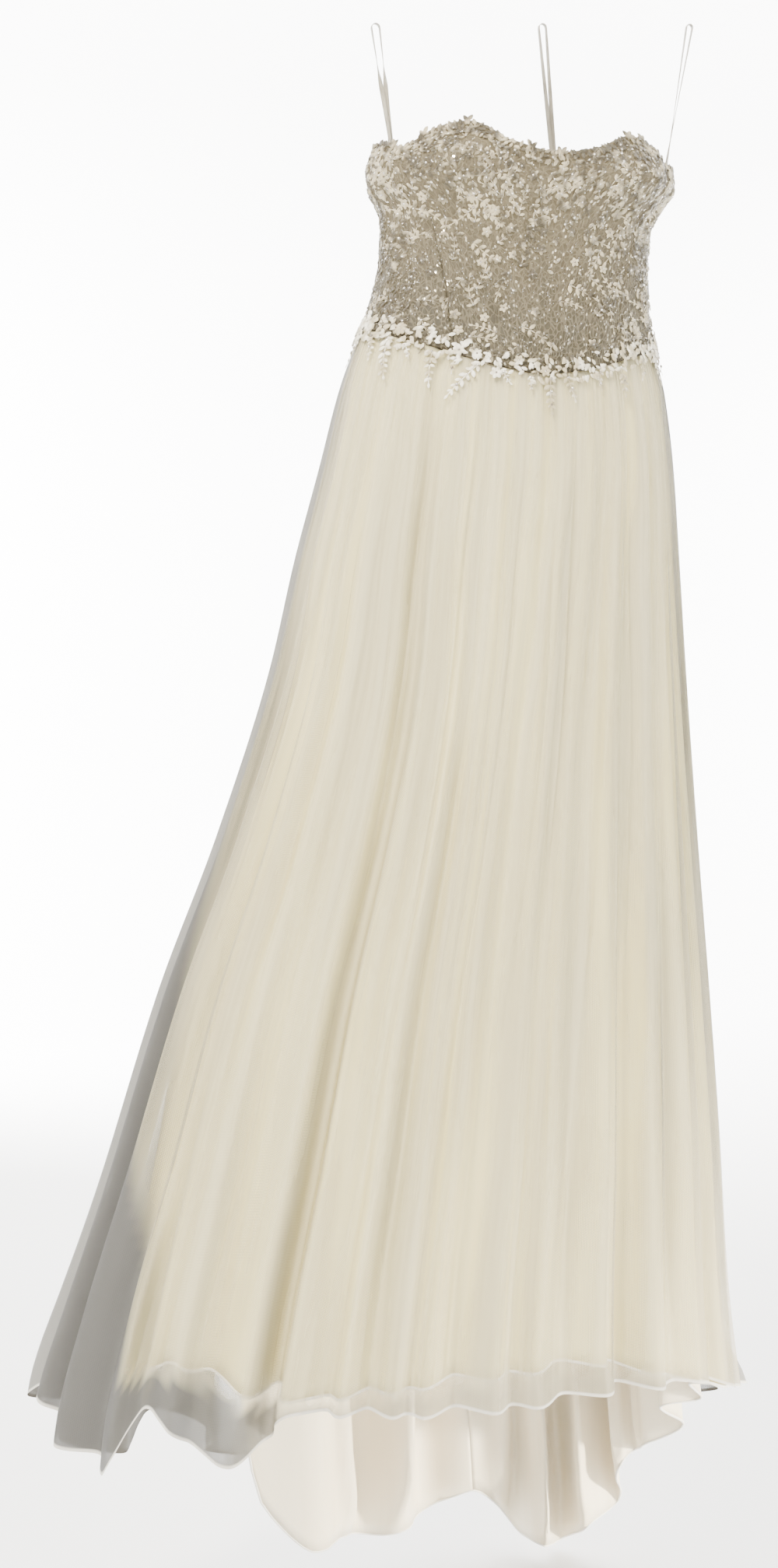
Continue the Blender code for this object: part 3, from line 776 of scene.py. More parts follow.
def skirt_sheet(ends, hem, room_share, own):
    """A laying function for one piece of a skirt layer."""

    def lay(u, v):
        place, hem_angle, height, angle, drop = skirt_place(ends, hem, u, v)
        points = skirt_point(place, height, room_share, own(angle, height, drop))
        turn = np.radians(hem_angle)
        side = SEAM_GAP * ((u < 1e-4) * 1.0 - (u > 1.0 - 1e-4) * 1.0)
        points[:, 0] += np.cos(turn) * side
        points[:, 1] += np.sin(turn) * side
        return points

    return lay


def lining_shape(angle, height, drop):
    """Creases of the lining and, low down, those of the train."""
    return LINING_CREASED * troughs(skirt_creases, angle, height) + troughs(TRAIN_CREASES, angle, height)


def roll_hem(name, hem):
    """The rolled hem: a round cord along the lining's lower edge."""
    line = bpy.data.curves.new(name, "CURVE")
    line.dimensions = "3D"
    spline = line.splines.new("POLY")
    spline.points.add(len(hem) - 1)
    for point, place in zip(spline.points, hem):
        point.co = (*place, 1.0)
    line.bevel_depth = ROLL_THICK
    line.bevel_resolution = 1
    line.use_fill_caps = True
    roll = bpy.data.objects.new(name, line)
    bpy.context.scene.collection.objects.link(roll)
    bpy.ops.object.select_all(action="DESELECT")
    roll.select_set(True)
    bpy.context.view_layer.objects.active = roll
    bpy.ops.object.convert(target="MESH")
    roll = bpy.context.object
    roll.name = roll.data.name = name
    bpy.ops.object.shade_smooth()
    wear(roll, roll_satin, "skirt_lining")
    return roll


def lay_lining(side, ends, columns, rows, tones, roughness):
    """One piece of the lining, its satin and the roll along its hem."""
    name = f"lining_{side}"
    sheet = cloth(f"{name}_satin", columns, rows, skirt_sheet(ends, LINING_HEM, 1.0, lining_shape))
    wide, long, area = cuts[sheet.name]
    hem = [sheet.data.vertices[i].co.copy() for i in range(columns + 1)]
    thicken(sheet, SATIN_THICK)
    wear(sheet, make_satin(f"{name}_cloth", (wide, long), *tones, roughness), "skirt_lining", name)
    roll = roll_hem(f"{name}_roll", hem)


roll_satin = make_satin("roll_satin", (1.5, 0.004), (0.97, 0.94, 0.88), (0.93, 0.89, 0.80), 0.4)
FRONT_SATIN = (210, 72, IVORY, 0.45)
BACK_SATIN = (120, 84, TRAIN_IVORY, 0.38)
for side, ends in SKIRT_PIECES.items():
    lay_lining(side, ends, *(FRONT_SATIN if side == "front" else BACK_SATIN))

# %% [markdown]
# ## Net of the skirt
# The net hangs over the lining and is cut wider, so it has fine gathers of its own at the waist. It is left
# as a single sheet with no thickness, because a thread is thinner than the eye can tell and a second wall
# would double every thread.

# %% Lay the net
NET_CREASED = 1.4
NET_SUNK = 0.0014


def net_shape(angle, height, drop):
    """Creases of the net and its gathers, kept clear of the lace border that lies over them."""
    creased = NET_CREASED * troughs(skirt_creases, angle, height)
    return creased + gathers(angle, drop) - NET_SUNK * np.exp(-drop / 0.06)


# The lining's side edges by height. Past them, and below the lining's hem, the net gets its painted grey
# shade.
LiningEdge = namedtuple("LiningEdge", "height left right")
LINING_EDGES = [LiningEdge(*row) for row in (
    (-0.40, -92.0, 66.0), (-0.70, -88.0, 66.0), (-1.10, -79.0, 78.0), (-1.45, -60.0, 88.0),
    (-1.70, -55.0, 92.0),
)]
EDGE_SOFT = 5.0
HEM_SOFT = 0.012
BEHIND_LEFT, BEHIND_RIGHT, BEHIND_SOFT = -150.0, 120.0, 14.0
# Below the hem at the centre front, the painted grey shade is weaker.
FRONT_CLEAR, CLEAR_AT, CLEAR_SPREAD = 0.6, 10.0, 34.0


def apart_shade_share(ends):
    """How far the net hangs apart from the lining, past its sides or below its hem: the mask of its painted
    grey shade and extra cover.
    """

    def share(u, v):
        _, _, height, angle, _ = skirt_place(ends, NET_HEM, u, v)
        angle = around(angle)
        left = along_table(LINING_EDGES, height, "left")
        right = along_table(LINING_EDGES, height, "right")
        past_left = soft_step((left - angle) / EDGE_SOFT + 0.5)
        past_left = past_left * soft_step((angle - BEHIND_LEFT) / BEHIND_SOFT)
        past_right = soft_step((angle - right) / EDGE_SOFT + 0.5)
        past_right = past_right * soft_step((BEHIND_RIGHT - angle) / BEHIND_SOFT)
        below = soft_step((along_table(LINING_HEM, angle, "height") - height + 0.004) / HEM_SOFT)
        below = below * (1.0 - FRONT_CLEAR * bump(angle - CLEAR_AT, CLEAR_SPREAD))
        return np.maximum(np.maximum(past_left, past_right), below)

    return share


# Cover ranges, the outer tone, the painted grey shade where the net hangs apart, and the painted shade of
# the inner side.
FRONT_NET = ((0.14, 0.62), (0.84, 0.96), (0.56, 0.51, 0.34), (0.082, 0.080, 0.075), (0.062, 0.060, 0.055))
BACK_NET = ((0.20, 0.58), (0.86, 0.97), (0.58, 0.53, 0.40), (0.20, 0.195, 0.18), (0.045, 0.042, 0.036))
NET_ROWS = 84


def lay_net(side, ends, columns, tones):
    """One piece of the net, a single sheet."""
    name = f"net_{side}"
    lay = skirt_sheet(ends, NET_HEM, 0.0, net_shape)
    sheet = cloth(f"{name}_sheet", columns, NET_ROWS, lay, apart_shade_share(ends))
    wide, long, area = cuts[sheet.name]
    wear(sheet, make_net(f"{name}_mesh", (wide, long), *tones), "net", name)


for side, ends in SKIRT_PIECES.items():
    lay_net(side, ends, *((420, FRONT_NET) if side == "front" else (220, BACK_NET)))

# %% [markdown]
# ## Bodice
# The bodice is six pieces of satin under lace: a front with moulded cups, two sides, two backs and a plain
# strip over the closing. They are firm, so only a few creases show: one across each cup, a hollow under the
# bust and a long diagonal one low on the front. The satin is covered with small corded embroidery on net,
# which a pattern gives, and larger leaves are then sewn on as real shapes.

# %% Creases of the bodice
FRONT_SEAM_TOP = 63.0
FRONT_SEAM_FOOT = 30.0
SIDE_SEAM = 95.0
PLACKET_HALF = 4.5
BORDER_ABOVE_SEAM = 0.022
PANEL_GAP = 0.0005
BODICE_THICK = 0.0020
BODICE_CREASES = [Crease(*row) for row in (
    (-24.0, -0.125, -9.0, -0.205, 2.6, 0.0040), (-47.0, -0.150, -40.0, -0.240, 2.2, 0.0022),
    (72.0, -0.185, 50.0, -0.262, 4.0, 0.0042), (40.0, -0.205, 22.0, -0.250, 4.5, 0.0030),
    (-30.0, -0.232, -62.0, -0.265, 5.0, 0.0026), (30.0, -0.325, 6.0, -0.392, 3.0, 0.0030),
    (-12.0, -0.300, -20.0, -0.390, 3.2, 0.0018), (-70.0, -0.200, -58.0, -0.330, 2.6, 0.0024),
    (120.0, -0.190, 132.0, -0.320, 4.5, 0.0030), (158.0, -0.200, 149.0, -0.330, 4.0, 0.0024),
    (-128.0, -0.185, -119.0, -0.310, 4.2, 0.0028), (-160.0, -0.220, -166.0, -0.335, 3.6, 0.0022),
)]


def bodice_out(angle, height):
    """How far the bodice's surface stands out of its form: its creases and a slight unevenness."""
    uneven = 0.0006 * np.sin(angle * 0.19 + 31.0 * height) + 0.0005 * np.sin(angle * 0.41 - 47.0 * height)
    return troughs(BODICE_CREASES, angle, height) + uneven - 0.0006


def bodice_height(angle, share):
    """The height at a share of the way from the neckline down to the waist seam."""
    top = neckline(angle)
    return top + (waist_seam(angle) - top) * share


def panel_sheet(top_edges, foot_edges):
    """A laying function for a panel between two seams, each given at the top and at the foot."""

    def lay(u, v):
        starts, ends = [top + (foot - top) * v for top, foot in zip(top_edges, foot_edges)]
        height = bodice_height(starts, v)
        starts = starts + PANEL_GAP / 2 / degree_length(starts, height)
        ends = ends - PANEL_GAP / 2 / degree_length(ends, height)
        angle = starts + (ends - starts) * u
        height = bodice_height(angle, v)
        return dress_point(angle, height, bodice_out(angle, height))

    return lay


print("creases on the bodice:", len(BODICE_CREASES))

# %% [markdown]
# The ground between the leaves is net with fine corded embroidery. Noise bends the place before a cell
# pattern reads it, so the cells' edges turn into curling cords; a second, smaller pattern picks out
# sequins, which are smooth and bright where the cords are matt.

# %% Embroidered ground
CORD_SCALE = 150.0
SEQUIN_SCALE = 230.0
CORD_BEND = (0.012, 0.012, 0.0)
SATIN_LOW, SATIN_HIGH = (0.034, 0.027, 0.012), (0.085, 0.068, 0.036)
CORD_TONE, SEQUIN_TONE = (0.17, 0.142, 0.085), (0.55, 0.50, 0.38)


def make_embroidery():
    """Curling cords and sequins: two masks and a height."""
    outputs = {"Cord": FLOAT, "Sequin": FLOAT, "Height": FLOAT}
    tree, given, out = group("embroidery", {"Vector": VECTOR, "Scale": FLOAT}, outputs)
    place = given.outputs["Vector"]
    bend = node(tree, "ShaderNodeTexNoise", {"Vector": place, "Scale": 60.0, "Detail": 2.0})
    links = {0: bend.outputs["Color"], 1: CORD_BEND, 2: place}
    push = node(tree, "ShaderNodeVectorMath", links, operation="MULTIPLY_ADD")
    links = {"Vector": push.outputs[0], "Scale": given.outputs["Scale"]}
    cells = node(tree, "ShaderNodeTexVoronoi", links, feature="DISTANCE_TO_EDGE")
    cord = masked(tree, cells.outputs["Distance"], 0.16, 0.05)
    spots = node(tree, "ShaderNodeTexVoronoi", {"Vector": place, "Scale": SEQUIN_SCALE})
    chosen = node(tree, "ShaderNodeSeparateColor", {0: spots.outputs["Color"]})
    picked = math_node(tree, "GREATER_THAN", chosen.outputs[0], 0.80)
    small = math_node(tree, "LESS_THAN", spots.outputs["Distance"], 0.36)
    sequin = math_node(tree, "MULTIPLY", picked, small)
    feed(tree, out, {"Cord": cord, "Sequin": sequin, "Height": math_node(tree, "MAXIMUM", cord, sequin)})
    return tree


embroidery = make_embroidery()


def make_ground(name, flat):
    """Greige satin under embroidered net, a little deeper in tone low on the front."""
    material, tree, shader, sized = finish(name, flat)
    sewn = use(tree, embroidery, Vector=sized, Scale=CORD_SCALE).outputs
    up = node(tree, "ShaderNodeSeparateXYZ", {0: sized}).outputs["Y"]
    level = math_node(tree, "ADD", up, math_node(tree, "MULTIPLY", noise(tree, sized, 16.0, 3.0), 0.16))
    satin = blend(tree, masked(tree, level, 0.11, 0.25), SATIN_LOW, SATIN_HIGH)
    corded = blend(tree, math_node(tree, "MULTIPLY", sewn["Cord"], 0.40), satin, CORD_TONE)
    feed(tree, shader, {
        "Base Color": blend(tree, sewn["Sequin"], corded, SEQUIN_TONE),
        "Roughness": masked(tree, sewn["Sequin"], 0.0, 1.0, 0.70, 0.16),
        "Metallic": math_node(tree, "MULTIPLY", sewn["Sequin"], 0.5),
    })
    roughen(tree, shader, sewn["Height"], 0.7, 0.0008)
    return material


print("the embroidered ground is a group named", embroidery.name)

# %% Lay the panels
Panel = namedtuple("Panel", "name top foot columns")
PANELS = [
    Panel("bodice_front", (-FRONT_SEAM_TOP, FRONT_SEAM_TOP), (-FRONT_SEAM_FOOT, FRONT_SEAM_FOOT), 96),
    Panel("bodice_side_left", (-SIDE_SEAM, -FRONT_SEAM_TOP), (-SIDE_SEAM, -FRONT_SEAM_FOOT), 40),
    Panel("bodice_side_right", (FRONT_SEAM_TOP, SIDE_SEAM), (FRONT_SEAM_FOOT, SIDE_SEAM), 40),
    Panel("bodice_back_left", (-180.0, -SIDE_SEAM), (-180.0, -SIDE_SEAM), 64),
    Panel("bodice_back_right", (SIDE_SEAM, 180.0), (SIDE_SEAM, 180.0), 64),
]
PANEL_ROWS = 60
BODICE_TALL = 0.235
STRIP_WIDE = 0.030
STRIP_THICK = 0.0010
STRIP_PROUD = 0.0018
STRIP_SHORT = 0.007


for panel in PANELS:
    sheet = cloth(f"{panel.name}_ground", panel.columns, PANEL_ROWS, panel_sheet(panel.top, panel.foot))
    thicken(sheet, BODICE_THICK)
    wide = max(np.ptp(panel.top), np.ptp(panel.foot)) * float(degree_length(0.0, -0.25))
    wear(sheet, make_ground(f"{panel.name}_cloth", (wide, BODICE_TALL)), "bodice_satin", panel.name)


def placket_lay(u, v):
    """The strip over the closing, just outside the two backs."""
    angle = 180.0 + (2 * u - 1) * PLACKET_HALF
    top, foot = neckline(angle), waist_seam(angle) + BORDER_ABOVE_SEAM + STRIP_SHORT
    height = top + (foot - top) * v
    return dress_point(angle, height, STRIP_PROUD + bodice_out(angle, height))


placket = cloth("back_placket_strip", 10, 40, placket_lay)
thicken(placket, STRIP_THICK)
wear(placket, make_ground("placket_cloth", (STRIP_WIDE, BODICE_TALL)), "bodice_satin", "back_placket")

# %% [markdown]
# ## Lace leaves
# The lace is made of corded leaves and small flowers. One leaf is modelled: a flat round is stretched and
# pointed, its rim is raised by an inset for the cord, and its middle stays lower. Every other leaf, petal
# and stem is a copy of it in another size, so thousands of them are one joined mesh, like a machine's
# repeat.

# %% Model one leaf
def model_leaf():
    """A leaf one unit long and wide, with a raised cord round a lower middle."""
    bpy.ops.object.select_all(action="DESELECT")
    bpy.ops.mesh.primitive_circle_add(vertices=8, radius=0.5, fill_type="NGON")
    leaf = bpy.context.object
    leaf.name = leaf.data.name = "leaf_model"
    bpy.ops.object.mode_set(mode="EDIT")
    bpy.ops.mesh.select_all(action="SELECT")
    bpy.ops.mesh.inset(thickness=0.10, depth=0.26)
    bpy.ops.mesh.poke(offset=-0.16)
    bpy.ops.object.mode_set(mode="OBJECT")
    for point in leaf.data.vertices:
        point.co.y *= 1.0 - 0.4 * (2 * point.co.x) ** 2
    return leaf


def model_bead(name, fineness):
    """A round bead, one unit across, that sits on the cloth."""
    bpy.ops.object.select_all(action="DESELECT")
    bpy.ops.mesh.primitive_ico_sphere_add(subdivisions=fineness, radius=0.5)
    bead = bpy.context.object
    bead.name = bead.data.name = name
    bpy.ops.object.mode_set(mode="EDIT")
    bpy.ops.mesh.select_all(action="SELECT")
    bpy.ops.transform.resize(value=(1.0, 1.0, 0.7))
    bpy.ops.object.mode_set(mode="OBJECT")
    return bead


leaf_model = model_leaf()
bead_model = model_bead("bead_model", 2)
small_bead_model = model_bead("small_bead_model", 1)
print("leaf:", len(leaf_model.data.polygons), "faces, bead:", len(bead_model.data.polygons), "faces")

# %% Sew copies on the form
Stitch = namedtuple("Stitch", "angle height turn long wide lift")


def sew_on(name, model, stitches, material, *nodes, out=bodice_out):
    """One joined mesh of a model's copies, each laid on the dress's form at its stitch, in its finish."""
    rows = np.array(stitches)
    points = np.array([point.co for point in model.data.vertices])
    turn = np.radians(rows[:, 2:3])
    x, y, z = points[:, 0] * rows[:, 3:4], points[:, 1] * rows[:, 4:5], points[:, 2] * rows[:, 4:5]
    sideways, up = x * np.cos(turn) - y * np.sin(turn), x * np.sin(turn) + y * np.cos(turn)
    angle = rows[:, 0:1] + sideways / degree_length(rows[:, 0], rows[:, 1])[:, None]
    height = rows[:, 1:2] + up
    laid = dress_point(angle, height, out(angle, height) + rows[:, 5:6] + z)
    faces = []
    for number in range(len(rows)):
        first = number * len(points)
        faces += [tuple(first + i for i in face.vertices) for face in model.data.polygons]
    mesh = bpy.data.meshes.new(name)
    mesh.from_pydata(laid.reshape(-1, 3).tolist(), [], faces)
    piece = bpy.data.objects.new(name, mesh)
    bpy.context.scene.collection.objects.link(piece)
    mesh.shade_smooth()
    wear(piece, material, "lace", *nodes)


def stepped(angle, height, way, far):
    """The angle and height a little way across the cloth, by a heading in degrees and a distance."""
    heading = math.radians(way)
    sideways = math.cos(heading) * far
    return angle + sideways / float(degree_length(angle, height)), height + math.sin(heading) * far


draw = random.Random(5)
LEAF_LEAST = 0.0048
LEAF_MOST = 0.0086
STEM_WIDE = 0.0013
LEAF_OPEN, LEAF_CLOSE, LEAF_SWAY = 58.0, 16.0, 24.0


def sprig(angle, height, turn, long, pairs, bend, lift=0.0004):
    """Uneven leaves in pairs along a curved stem, with a leaf at its tip, and the places of its beads."""
    leaves, beads = [], []
    step = long / (pairs + 0.5)
    full = min(LEAF_MOST, max(LEAF_LEAST, long * 0.30))
    for number in range(pairs + 1):
        size = full * (1.0 - 0.3 * number / pairs)
        leaves.append(Stitch(*stepped(angle, height, turn, step / 2), turn, step * 1.25, STEM_WIDE, lift))
        for side in (-1, 1):
            opened = LEAF_OPEN - LEAF_CLOSE * number / pairs
            way = turn + side * opened + LEAF_SWAY * (draw.random() - 0.5)
            long_leaf = size * (0.78 + 0.4 * draw.random())
            at = stepped(angle, height, way, long_leaf * 0.55)
            leaves.append(Stitch(*at, way, long_leaf, long_leaf * 0.54, lift + 0.0003 * draw.random()))
        beads.append((angle, height))
        angle, height = stepped(angle, height, turn, step)
        turn += bend / pairs
    leaves.append(Stitch(*stepped(angle, height, turn, size * 0.4), turn, size, size * 0.5, lift))
    return leaves, beads


def flower(angle, height, turn, across, petals=5, lift=0.0007):
    """Round petals about a bead."""
    leaves = []
    for number in range(petals):
        way = turn + 360.0 * number / petals
        at = stepped(angle, height, way, across * 0.27)
        leaves.append(Stitch(*at, way, across * 0.46, across * 0.36, lift))
    return leaves, [(angle, height)]


print("leaves in a sprig of four pairs:", len(sprig(0.0, -0.3, 90.0, 0.03, 4, 30.0)[0]))

# %% [markdown]
# ## Finishes of lace, beads and ribbon
# The cord is matt cotton whose twist is a fine noise. The beads are glass with a smooth bright coat: some
# are silvered and pale, and the others have a dark base colour, a painted reflection of dark surroundings.
# The ribbon is narrow satin, woven across its width.

# %% Lace, bead and ribbon finishes
def make_cord(name, light, shade):
    """Cotton cord, brighter in some places than in others."""
    material, tree, shader = start(name)
    place = node(tree, "ShaderNodeTexCoord").outputs["Object"]
    both = math_node(tree, "ADD", noise(tree, place, 95.0, 1.0), noise(tree, place, 15.0, 1.0))
    tone = blend(tree, masked(tree, both, 0.86, 1.16), shade, light)
    feed(tree, shader, {"Base Color": tone, "Roughness": 0.6, "Sheen Weight": 0.2})
    roughen(tree, shader, noise(tree, place, 1400.0, 1.0), 0.5, 0.0004)
    return material


def make_bead_glass():
    """Glass beads, some silvered and pale and the others with a painted dark reflection as their base
    colour. They glitter under the lamps.
    """
    material, tree, shader = start("bead_glass")
    mix = noise(tree, node(tree, "ShaderNodeTexCoord").outputs["Object"], 300.0, 2.0)
    # The dark tone is a painted reflection of dark surroundings, where silvered glass would mirror them.
    tone = blend(tree, masked(tree, mix, 0.42, 0.58), (0.85, 0.82, 0.74), (0.16, 0.125, 0.085))
    silvered = masked(tree, mix, 0.5, 0.6, 0.7, 0.1)
    feed(tree, shader, {"Base Color": tone, "Metallic": silvered, "Roughness": 0.09})
    feed(tree, shader, {"Coat Weight": 1.0, "Coat Roughness": 0.04})
    return material


def make_ribbon():
    material, tree, shader, sized = finish("ribbon_satin", (0.005, 0.8))
    share = masked(tree, noise(tree, sized, 18.0, 2.0), 0.35, 0.65)
    tone = blend(tree, share, (0.36, 0.33, 0.26), (0.25, 0.225, 0.17))
    feed(tree, shader, {"Base Color": tone, "Roughness": 0.32, "Sheen Weight": 0.2})
    roughen(tree, shader, use(tree, weave, Vector=sized, Pitch=0.0007).outputs[0], 0.4, 0.0004)
    return material


lace_cord = make_cord("lace_cord", (0.50, 0.435, 0.29), (0.060, 0.048, 0.026))
border_cord = make_cord("border_cord", (0.96, 0.92, 0.80), (0.46, 0.40, 0.26))
bead_glass = make_bead_glass()
ribbon_satin = make_ribbon()
print("finishes:", [material.name for material in (lace_cord, border_cord, bead_glass, ribbon_satin)])

# %% [markdown]
# ## Leaves over the bodice
# Sprigs are thrown on the bodice like darts: a throw that lands too near another is left out. They lie
# closer along the neckline and the sides, and further apart low on the front, where beads on bare net take
# over. The throws come from a seeded draw, so the lace is the same each time.

# %% Throw the sprigs
THROWS = 6000
NEAR_DENSE = 0.0140
NEAR_SPARSE = 0.0340


def spacing(angle, share):
    """How far apart sprigs lie: the share runs from the neckline at 0 to the waist at 1."""
    middle = bump(abs(angle - 8.0), 30.0) * bump(share - 0.76, 0.20)
    plain = bump(abs(angle + 44.0), 9.0) * bump(share - 0.62, 0.30)
    edges = 0.25 * bump(share, 0.35)
    return NEAR_DENSE * (1.0 - edges) + (NEAR_SPARSE - NEAR_DENSE) * min(1.0, middle + plain)


def throw_sprigs(first, last):
    """Where sprigs land between two angles."""
    landed = []
    for _ in range(THROWS):
        angle = first + (last - first) * draw.random()
        share = 0.03 + 0.94 * draw.random()
        height = float(bodice_height(angle, share))
        point = dress_point(angle, height)
        near = spacing(float(around(angle)), share)
        if all(np.abs(point - other).sum() > near * 1.3 for _, _, other in landed[-400:]):
            landed.append((angle, height, point))
    return landed


def dress_in_lace(name, first, last):
    """Sprigs, flowers and single leaves over one side of the bodice."""
    leaves, beads = [], []
    for angle, height, _ in throw_sprigs(first, last):
        kind = draw.random()
        turn = 360.0 * draw.random()
        if kind < 0.62:
            long = 0.020 + 0.010 * draw.random()
            made = sprig(angle, height, turn, long, 3, 70.0 * (draw.random() - 0.5))
        elif kind < 0.88:
            made = flower(angle, height, turn, 0.010 + 0.003 * draw.random())
        else:
            made = ([Stitch(angle, height, turn, 0.009, 0.0042, 0.0006)], [(angle, height)])
        leaves += made[0]
        beads += made[1][:2]
    leaves = [leaf for leaf in leaves if leaf.height < neckline(leaf.angle)]
    sew_on(name, leaf_model, leaves, lace_cord)
    return [bead for bead in beads if bead[1] < neckline(bead[0])]


front_beads = dress_in_lace("bodice_lace_front", -SIDE_SEAM, SIDE_SEAM)
back_beads = dress_in_lace("bodice_lace_back", SIDE_SEAM, 360.0 - SIDE_SEAM)

# %% [markdown]
# ## Border and neckline
# Brighter leaves cover the waist seam: a band of leaves and ring flowers, with sprigs that hang down over
# the net. The long ones follow the photo, and each is another generic spray. Along the neckline small
# sprigs stand up past the edge, so that the lace, and not a cut line, ends the bodice.

# %% Sew the border
Spray = namedtuple("Spray", "angle turn long")
HANGING_SPRAYS = [Spray(*row) for row in (
    (-85.0, -104.0, 0.018), (-72.0, -78.0, 0.022), (-61.0, -88.0, 0.038), (-51.0, -66.0, 0.014),
    (-39.0, -92.0, 0.032), (-30.0, -104.0, 0.013), (-22.0, -134.0, 0.040), (-13.0, -66.0, 0.012),
    (-4.0, -84.0, 0.014), (3.0, -92.0, 0.032), (9.0, -68.0, 0.022), (22.0, -98.0, 0.015),
    (32.0, -80.0, 0.026), (47.0, -102.0, 0.018), (60.0, -84.0, 0.024), (74.0, -96.0, 0.018),
    (88.0, -80.0, 0.015),
)]
Ring = namedtuple("Ring", "angle above across")
RINGS = [Ring(*row) for row in (
    (-29.0, 0.004, 0.014), (-22.5, 0.006, 0.012), (-15.5, -0.009, 0.014), (-8.0, 0.010, 0.012),
    (1.0, 0.002, 0.013), (14.0, 0.006, 0.013), (40.0, 0.004, 0.014), (68.0, 0.005, 0.013),
    (-55.0, 0.008, 0.013), (-78.0, 0.003, 0.014),
)]
BAND_STEP = 2.7
BAND_LEAVES = 5
BAND_LEAF, BAND_UNEVEN = 0.0062, 0.0030
BAND_TOP = 0.015
BAND_FOOT = -0.011
BORDER_LIFT = 0.0012


def flat_out(angle, height):
    """The border lies on the form itself."""
    return 0.0 * angle


def border(first, last, sprays, rings):
    """Leaves thrown along a band, ring flowers on them, and sprays that hang below."""
    leaves, beads = [], []
    for number in range(int((last - first) / BAND_STEP)):
        angle = first + BAND_STEP * (number + 0.5)
        for _ in range(BAND_LEAVES):
            at = angle + BAND_STEP * 1.2 * (draw.random() - 0.5)
            top = BAND_TOP + 0.004 * math.sin(at * 0.9)
            height = float(waist_seam(at)) + BAND_FOOT + (top - BAND_FOOT) * draw.random()
            turn = 360.0 * draw.random()
            long = BAND_LEAF + BAND_UNEVEN * draw.random()
            leaves.append(Stitch(at, height, turn, long, long * 0.55, BORDER_LIFT + 0.0010 * draw.random()))
    for ring in rings:
        height = float(waist_seam(ring.angle)) + ring.above
        made = flower(ring.angle, height, 90.0 * draw.random(), ring.across, 6, BORDER_LIFT + 0.0012)
        leaves += made[0]
        beads += made[1]
    for spray in sprays:
        height = float(waist_seam(spray.angle)) - 0.006
        pairs = max(2, round(spray.long / 0.0075))
        bend = 30.0 * (draw.random() - 0.4)
        made = sprig(spray.angle, height, spray.turn, spray.long, pairs, bend, BORDER_LIFT)
        leaves += made[0]
        beads += made[1][::2]
    return leaves, beads


front_border, front_border_beads = border(-SIDE_SEAM + 0.5, SIDE_SEAM - 0.5, HANGING_SPRAYS, RINGS)
sew_on("border_leaves_front", leaf_model, front_border, border_cord, "lace_border_front", out=flat_out)

BACK_SPRAYS = 14
SPRAY_STEP = 12.6
back_sprays, back_rings = [], []
for number in range(BACK_SPRAYS):
    angle = SIDE_SEAM + 9.0 + SPRAY_STEP * number
    turn, long = -90.0 + 24.0 * math.sin(2.1 * number), 0.023 + 0.009 * math.sin(1.3 * number)
    back_sprays.append(Spray(angle, turn, long))
    back_rings.append(Ring(angle + 5.0, 0.004 + 0.005 * math.sin(1.9 * number), 0.013))
back_span = (SIDE_SEAM + 0.5, 360.0 - SIDE_SEAM - 0.5)
back_border, back_border_beads = border(*back_span, back_sprays, back_rings)
sew_on("border_leaves_back", leaf_model, back_border, border_cord, "lace_border_back", out=flat_out)

# %% Sew the neckline
NECK_STEP = 2.2
NECK_LEAF, NECK_UNEVEN = 0.0065, 0.0025
TIPS = [-68.0, -52.0, -33.0, -9.0, 2.0, 30.0, 38.0, 64.0, 86.0]
neck_leaves, neck_beads = [], []
for number in range(int(2 * SIDE_SEAM / NECK_STEP)):
    for row in (-0.0015, -0.007, -0.013):
        angle = -SIDE_SEAM + NECK_STEP * (number + draw.random())
        turn = 90.0 + 150.0 * (draw.random() - 0.5) if row > -0.005 else 360.0 * draw.random()
        long = NECK_LEAF + NECK_UNEVEN * draw.random()
        height = float(neckline(angle)) + row
        neck_leaves.append(Stitch(angle, height, turn, long, long * 0.55, 0.0010 + 0.0006 * draw.random()))
    if number % 3 == 0:
        neck_beads.append((angle, height))
for angle in TIPS:
    for shift in (-0.8, 0.9):
        turn = 90.0 - 38.0 * shift + 30.0 * (draw.random() - 0.5)
        height = float(neckline(angle + shift)) + 0.0015 + 0.0015 * draw.random()
        neck_leaves.append(Stitch(angle + shift, height, turn, 0.0095, 0.0052, 0.0010))
sew_on("neckline_leaves", leaf_model, neck_leaves, lace_cord, "neckline_lace")

# %% [markdown]
# ## Beads
# Beads sit at the heart of each flower and along the stems, and small ones are strewn between. They catch
# the light as sharp points, which makes the lace glitter.

# %% Sew the beads
BEADS_STREWN = 1500
IN_LACE, IN_BORDER, STREWN = (0.0018, 0.0030, 0.0016), (0.0022, 0.0034, 0.0030), (0.0012, 0.0020, 0.0006)


def strewn(count, first, last):
    """Places of small beads, thrown evenly over the bodice."""
    places = []
    for _ in range(count):
        angle = first + (last - first) * draw.random()
        share = 0.04 + 0.92 * draw.random()
        places.append((angle, float(bodice_height(angle, share))))
    return places


def bead_stitches(places, least, most, lift):
    stitches = []
    for angle, height in places:
        size = least + (most - least) * draw.random()
        stitches.append(Stitch(angle, height, 0.0, size, size, lift))
    return stitches


large = bead_stitches(front_beads + back_beads + neck_beads, *IN_LACE)
large += bead_stitches(front_border_beads + back_border_beads, *IN_BORDER)
sew_on("large_beads", bead_model, large, bead_glass)
small = bead_stitches(strewn(BEADS_STREWN, -SIDE_SEAM, SIDE_SEAM), *STREWN)
small += bead_stitches(strewn(BEADS_STREWN * 2 // 3, SIDE_SEAM, 360.0 - SIDE_SEAM), *STREWN)
sew_on("small_beads", small_bead_model, small, bead_glass)

# %% [markdown]
# ## Hanger loops
# Each loop is one satin ribbon, sewn inside the neckline, up to its turn and down again beside itself. A
# grid five millimetres wide is laid along that path, so the ribbon lies flat at the seam and turns edge on
# at the top, as a ribbon hung over a hook does.

